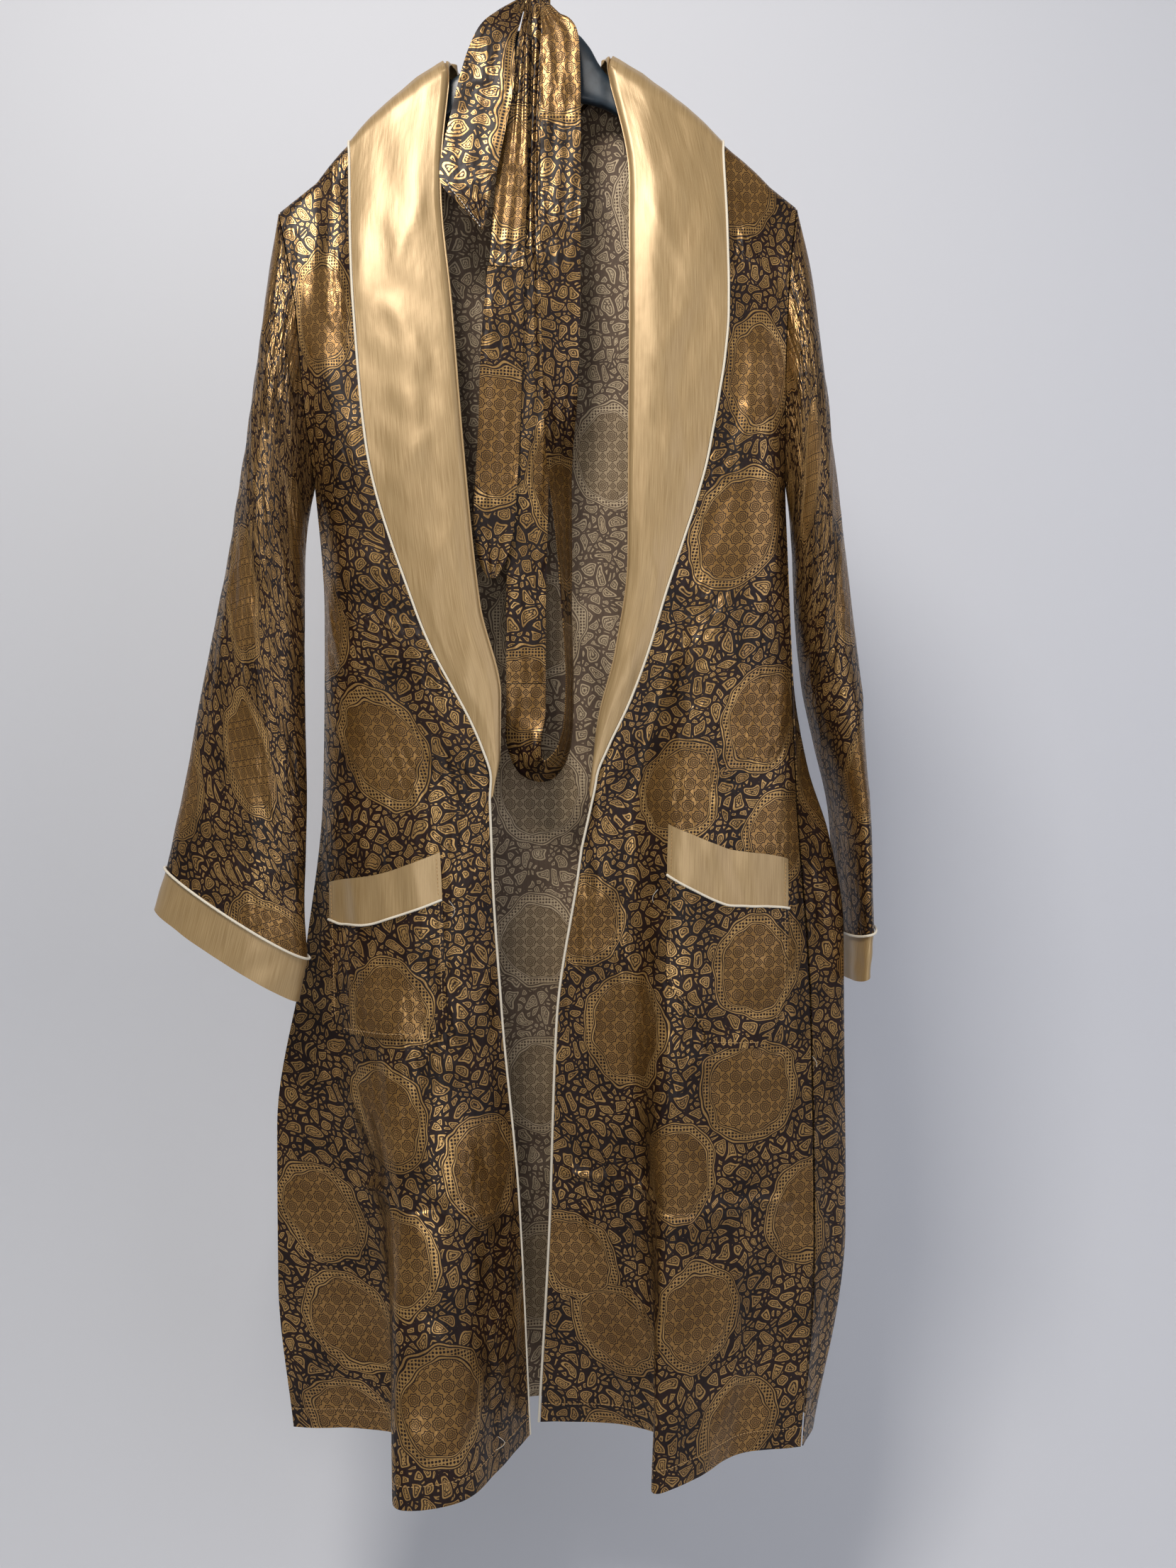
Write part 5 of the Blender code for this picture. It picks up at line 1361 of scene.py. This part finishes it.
# %% Belt stretches
# Belt stretches: x, y, z of the middle line, half the width, and the turn of its flat side away from
# the front, in degrees
BELT_LEFT_FALL = (
    (-10.5, -5, -58, 2.6, 0), (-23, -15, -80, 11.5, 0), (-34, -25, -106, 18, 0), (-42, -28, -150, 24, 0),
    (-54, -28, -205, 25, 0), (-57.5, -28, -224, 24.5, 0), (-52.5, -28, -243, 16, 0),
    (-46.5, -28, -264, 5, 0), (-44.5, -28, -273, 0.8, 0))
BELT_MIDDLE_FALL = (
    (-5, -5, -58, 1.8, 0), (-7.5, -14, -85, 3.6, 0), (-11, -20, -120, 6, 0), (-17, -20, -180, 11, 0),
    (-22, -18, -260, 14.5, 0), (-24.5, -17, -300, 14.8, 0))
BELT_END = (
    (-25, -17, -300.9, 16, 0), (-29, -15, -380, 18.5, 10), (-31, -14, -440, 18.5, 12),
    (-35, -13, -510, 18.5, 0), (-37, -12, -552, 13, 0), (-38, -12, -572, 4, 0))
BELT_BACK_STRAND = (
    (0, -4.6, -58, 7.5, 0), (0, -9, -85, 11, 0), (-1, -12, -150, 8, 0), (-2, -11, -300, 12, 0),
    (-4, -8, -420, 16, 0), (-6, -5, -520, 17.5, 0), (-8, -4, -600, 17.5, 0), (-8, -4, -664, 17.5, 0))
BELT_RIGHT_FALL = (
    (6, -5, -58, 2.2, 0), (14, -14, -80, 9, 0), (22, -19, -100, 16.5, 0), (23, -20, -150, 17.5, 0),
    (23, -19, -250, 17.5, 0), (23, -16, -380, 17.5, 25), (22, -14, -460, 17.5, 50),
    (26, -14, -540, 17.5, 68), (29, -14, -612, 17.5, 78))
BELT_LOOP = (
    (29.1, -14, -612.9, 17.5, 78), (31, -14, -660, 17.5, 80), (30, -14, -700, 17.5, 78),
    (23, -13, -729, 17, 70), (9, -12, -742, 17, 58), (-4, -10, -737, 16.5, 44),
    (-10, -7, -712, 17, 20), (-8, -4.5, -688, 17.5, 6), (-8, -4, -664.9, 17.5, 0))
# Wrap of the belt round the hook's stem: half its width and depth, and the heights of its ends
BELT_WRAP = (12.5, 3.5, (-50, -64))
# Thickness of the belt's shells and half the belt's true width, in mm
BELT_SHEET = 0.9
TRUE_HALF = 18.0
# Cells along each step of a stretch, points across it, pleats across half of it, and how much their
# height grows with each mm that the belt is gathered
BELT_FINE = 5
BELT_COLUMNS = 19
PLEATS = 1.4
PLEAT_GROWTH = 0.12
# Medallions on the belt: sideways from its middle line, down from the stretch's own top, and half sizes
BELT_SPOTS = {
    "left_fall": ((50, 95, 46, 120),), "middle_fall": ((4, 165, 48, 66),), "end": ((-2, 146, 60, 70),),
    "back_strand": ((32, 420, 38, 62), (0, 628, 60, 62)), "right_fall": ((0, 68, 60, 63), (0, 470, 60, 66)),
    "loop": ((0, 58, 60, 80), (0, 226, 60, 62))}


def ribbon(name, rows, count, seed, start):
    """Stretch of belt: points across it run straight from one edge to the other, turned about its middle
    line, and pleats move them along the normal by a wave that grows where the belt is gathered."""
    row = stations(rows, (count - 1) * BELT_FINE + 1)
    middle = row[:, :3]
    flat = unit(np.gradient(middle, axis=0) * np.array([1.0, 0.0, 1.0]))
    sideways = np.column_stack([-flat[:, 2], np.zeros(len(row)), flat[:, 0]])
    turn = np.radians(row[:, 4:5])
    half = (np.cos(turn) * sideways + np.sin(turn) * np.array([[0.0, 1.0, 0.0]])) * row[:, 3:4]
    t = np.linspace(-1, 1, BELT_COLUMNS)
    grid = middle[:, None] + half[:, None] * t[None, :, None]
    down = np.concatenate([[0.0], np.cumsum(np.linalg.norm(np.diff(middle, axis=0), axis=1))])
    cloth = np.stack(np.broadcast_arrays(t[None] * TRUE_HALF, start - down[:, None]), axis=-1)
    rng = np.random.default_rng(seed)
    pleat = np.cos(2 * np.pi * PLEATS * t[None] + 1.5 * np.sin(down[:, None] / 45 + rng.uniform(0, 6)))
    gather = np.clip((TRUE_HALF - row[:, 3]) * PLEAT_GROWTH, 0.25, 1.0)[:, None]
    room = np.minimum(gather, row[:, 3:4] * PLEAT_GROWTH)
    fade = np.clip(np.minimum(down, down[-1] - down) / 12, 0, 1)[:, None]
    lift = pleat * room + ripple(cloth, seed, 4, 22, 0.25, lean=0.8) * np.clip(row[:, 3:4] / 10, 0, 1)
    grid = grid + normals(grid) * (lift * fade)[..., None]
    spots = np.array(BELT_SPOTS[name]) * (1, -1, 1, 1) + (0, start, 0, 0)
    piece = shell("satin_belt_" + name, grid, cloth, 1, BELT_SHEET, [satin_face], spots=spots)
    declare(["belt_" + name])
    return grid


left_fall = ribbon("left_fall", BELT_LEFT_FALL, 14, 101, 0)
ribbon("middle_fall", BELT_MIDDLE_FALL, 10, 103, 60)
ribbon("end", BELT_END, 11, 105, 0)
ribbon("back_strand", BELT_BACK_STRAND, 16, 107, 40)
ribbon("right_fall", BELT_RIGHT_FALL, 18, 109, 20)
ribbon("loop", BELT_LOOP, 18, 113, -40)
wrap_width, wrap_depth, wrap_heights = BELT_WRAP
WRAP_ROWS = 13
GATHERS = 11
turn = np.linspace(0, 2 * math.pi, 72, endpoint=False)
height = np.linspace(*wrap_heights, WRAP_ROWS)
gathers = 1 + 0.05 * np.cos(GATHERS * turn)[None] * np.sin(np.linspace(0, math.pi, WRAP_ROWS))[:, None]
wrap = np.stack(np.broadcast_arrays(wrap_width * np.cos(turn)[None] * gathers,
                                    wrap_depth * np.sin(turn)[None] * gathers, height[:, None]), axis=-1)
piece = shell("satin_belt_wrap", wrap, arcs(wrap, 0, ring=True), 1, BELT_SHEET, [satin_face], ring=True)
declare(["belt_wrap"])

# %% [markdown]
# The hanger is a moulded body whose section is a rounded rectangle, the superellipse with power 0.6, drawn
# along a table of the arms' top and bottom edges. A steel wire hook stands in its top.

# %% The hanger
# Hanger: x, then z of the arm's top and bottom, then its half depth
HANGER_ARMS = (
    (-207, -232.5, -250, 3.6), (-194, -222, -242, 4.4), (-162, -185.6, -214, 5), (-120, -155.0, -188, 5.4),
    (-76, -129, -160, 5.6), (-62, -118, -152, 6), (-48, -100, -149, 6), (-36, -88, -147, 6),
    (-20, -84, -144, 6), (0, -83, -143, 6), (20, -84, -144, 6), (36, -86, -146, 6),
    (48, -98, -148, 6), (57, -114, -150, 6), (66, -125, -154, 5.6), (78, -132, -162, 5.6),
    (120, -156.5, -188, 5.4),
    (164, -185.6, -214, 5), (196, -214, -238, 4.4), (212, -228.5, -248, 3.6))
# Points round the hanger's section, and the power that squares it
HANGER_SIDES = 36
HANGER_SQUARENESS = 0.6
# The hook's inner radius and its wire's thickness, and the height of its stem's foot, in mm
HOOK_INNER_RADIUS = 20
HOOK_WIRE = 4.0
STEM_FOOT = -83 + SEAM_GAP

at = np.unique(np.concatenate([np.linspace(-207, 212, 170), np.linspace(-90, 90, 120)]))
row = follow(HANGER_ARMS, at)
turn = np.linspace(0, 2 * math.pi, HANGER_SIDES, endpoint=False)
square = [np.sign(wave) * np.abs(wave) ** HANGER_SQUARENESS for wave in (np.cos(turn), np.sin(turn))]
y = row[:, 2:3] * square[0][None]
z = (row[:, 0:1] + row[:, 1:2]) / 2 + (row[:, 0:1] - row[:, 1:2]) / 2 * square[1][None]
rings = np.stack([np.repeat(at[:, None], HANGER_SIDES, axis=1), y, z], axis=2)
number, faces = ring_faces(len(at), HANGER_SIDES)
lids = [number[0][[0, k, k + 1, k + 2]] for k in range(1, HANGER_SIDES - 2, 2)]
lids += [number[-1][[0, k, k + 1, k + 2]][::-1] for k in range(1, HANGER_SIDES - 2, 2)]
body = make("hanger", rings.reshape(-1, 3), np.concatenate([faces, np.array(lids)]), [hanger_plastic])
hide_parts("hanger_body")

radius = HOOK_INNER_RADIUS + HOOK_WIRE / 2
turn = np.radians(np.linspace(-60, 200, 72))
bend = np.column_stack([radius * np.cos(turn), 0 * turn, radius * np.sin(turn) - HOOK_INNER_RADIUS])
stem = follow(((0, 0, 0, STEM_FOOT), (1, 0, 0, -66), (2, 0, 0, -56), (3, 3, 0, -46), (4, *bend[0])),
              np.linspace(0, 4, 25))
hook = tube("hook", np.concatenate([stem[:-1], bend]), HOOK_WIRE / 2, hook_steel, sides=24)
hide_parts("hanger_hook")
print("hanger cells", len(faces))

# %% [markdown]
# Sewing is real thread here: each stitch is a small bead of thread, longer than it is wide, laid along a
# line on the cloth at an even pitch. The hems, the pouches' sides and bottoms and the ends of the pocket
# bands have such rows in gold, and a slanting white one closes the belt's left end.

# %% Stitch rows
# Pitch of the stitches in mm, and one stitch: places along the thread with its radius there
STITCH_PITCH = 3.2
STITCH_SHAPE = ((-1.15, 0.05), (-0.9, 0.22), (-0.45, 0.34), (0.45, 0.34), (0.9, 0.22), (1.15, 0.05))


def along(path, pitch):
    """Places and headings at an even pitch along a path."""
    step = np.linalg.norm(np.diff(path, axis=0), axis=1)
    arc = np.concatenate([[0.0], np.cumsum(step)])
    at = np.arange(pitch / 2, arc[-1], pitch)
    place = np.stack([np.interp(at, arc, path[:, k]) for k in range(3)], axis=1)
    ahead = np.stack([np.interp(at + 0.5, arc, path[:, k]) for k in range(3)], axis=1)
    behind = np.stack([np.interp(at - 0.5, arc, path[:, k]) for k in range(3)], axis=1)
    return place, unit(ahead - behind)


def stitches(name, path, out, surface_material):
    """One row of stitches on a line: six sided beads of thread."""
    place, heading = along(path, STITCH_PITCH)
    up = unit(np.broadcast_to(out.mean(axis=0), place.shape))
    side = unit(np.cross(heading, up))
    lift = np.cross(side, heading)
    shape = np.array(STITCH_SHAPE)
    turn = np.linspace(0, 2 * math.pi, 6, endpoint=False)
    ring = (heading[:, None, None] * shape[None, :, None, :1]
            + side[:, None, None] * (shape[:, 1:2] * np.cos(turn))[None, ..., None]
            + lift[:, None, None] * (shape[:, 1:2] * np.sin(turn) + 0.12)[None, ..., None])
    points = place[:, None, None] + ring
    rings = len(shape)
    number, one = ring_faces(rings, 6)
    lids = np.array([number[0][[0, 1, 2, 3]], number[0][[0, 3, 4, 5]],
                     number[-1][[3, 2, 1, 0]], number[-1][[5, 4, 3, 0]]])
    one = np.concatenate([one, lids])
    faces = (one[None] + np.arange(len(place))[:, None, None] * rings * 6).reshape(-1, 4)
    row = make(name, points.reshape(-1, 3), faces, [surface_material])


# How far a stitch lies off the cloth's middle in mm, and the row of the hem's stitches
ON_CLOTH = CLOTH / 2 + 0.1
HEM_ROW = -4
for side, grid, out in (("right", right_grid, right_out), ("left", left_grid, left_out)):
    stitches(f"{side}_hem_stitches", grid[HEM_ROW] + out[HEM_ROW] * ON_CLOTH, out[HEM_ROW], gold_thread)
for side, (pouch, band, facing) in pocket_parts.items():
    pouch_out = normals(pouch) * facing
    band_out = normals(band) * facing
    for part, rows, up in (("outer_side", pouch[:-4, 1], pouch_out[:-4, 1]),
                           ("inner_side", pouch[:-4, -2], pouch_out[:-4, -2]),
                           ("bottom", pouch[-2, 3:-3], pouch_out[-2, 3:-3]),
                           ("band_outer_end", band[1:-1, 1], band_out[1:-1, 1]),
                           ("band_inner_end", band[1:-1, -2], band_out[1:-1, -2])):
        stitches(f"{side}_pocket_{part}_stitches", rows + up * ON_CLOTH, up, gold_thread)
# Every second row of the belt's left end, and the column that its seam follows
slant = left_fall[42:63:2, 2]
slant_out = np.tile(np.array([0.0, -1.0, 0.0]), (len(slant), 1))
stitches("belt_end_stitches", slant + slant_out * 1.4, slant_out, white_thread)

# %% [markdown]
# A few loose threads hang from the sewing, as they do on a real gown: short, thin and curled.

# %% Loose threads
# Where each thread starts, seen from the front, then its length in mm and its curl
LOOSE = ((-70, -854, 14, 0.9), (108, -842, 11, -0.6), (258, -990, 9, 0.5), (-30, -1302, 12, 1.3))
for index, (x, z, length, curl) in enumerate(LOOSE):
    grid, out = (right_grid, right_out) if x < 0 else (left_grid, left_out)
    place = np.unravel_index(np.argmin(((grid[..., [0, 2]] - (x, z)) ** 2).sum(axis=-1)), grid.shape[:2])
    t = np.linspace(0, 1, 14)[:, None]
    path = (grid[place] + out[place] * (LIE_ON + 1.2 + 1.8 * np.sin(math.pi * t))
            + np.concatenate([length * 0.35 * np.sin(curl * 3 * t), 0 * t, -length * t], axis=1))
    hair = tube(f"loose_thread_{index + 1}", path, 0.16, white_thread, sides=6, up=(1, 0, 0.2))
print("loose threads:", len(LOOSE))

# %% [markdown]
# The floor and the wall behind are one plain pale sheet with a round corner. It only stands in the scene
# and is no part of the gown.

# %% The backdrop
# Depth of the wall, height of the floor, radius of the round corner and half the width, in metres
WALL_DEPTH = 0.5
FLOOR = -1.75
CORNER = 0.75
HALF_WIDTH = 2.6
profile = [(-2.2, FLOOR), (-0.26, FLOOR)]
profile += [(WALL_DEPTH - CORNER * (1 - math.sin(a)), FLOOR + CORNER - CORNER * math.cos(a))
            for a in np.linspace(0, math.pi / 2, 24)]
profile += [(WALL_DEPTH, 1.9)]
points = [(x, y, z) for y, z in profile for x in (-HALF_WIDTH, HALF_WIDTH)]
faces = [(2 * k, 2 * k + 1, 2 * k + 3, 2 * k + 2) for k in range(len(profile) - 1)]
mesh = bpy.data.meshes.new("backdrop")
mesh.from_pydata(points, [], faces)
mesh.materials.append(backdrop_white)
mesh.shade_smooth()
backdrop = bpy.data.objects.new("backdrop", mesh)
bpy.context.scene.collection.objects.link(backdrop)
print("backdrop faces:", len(faces))
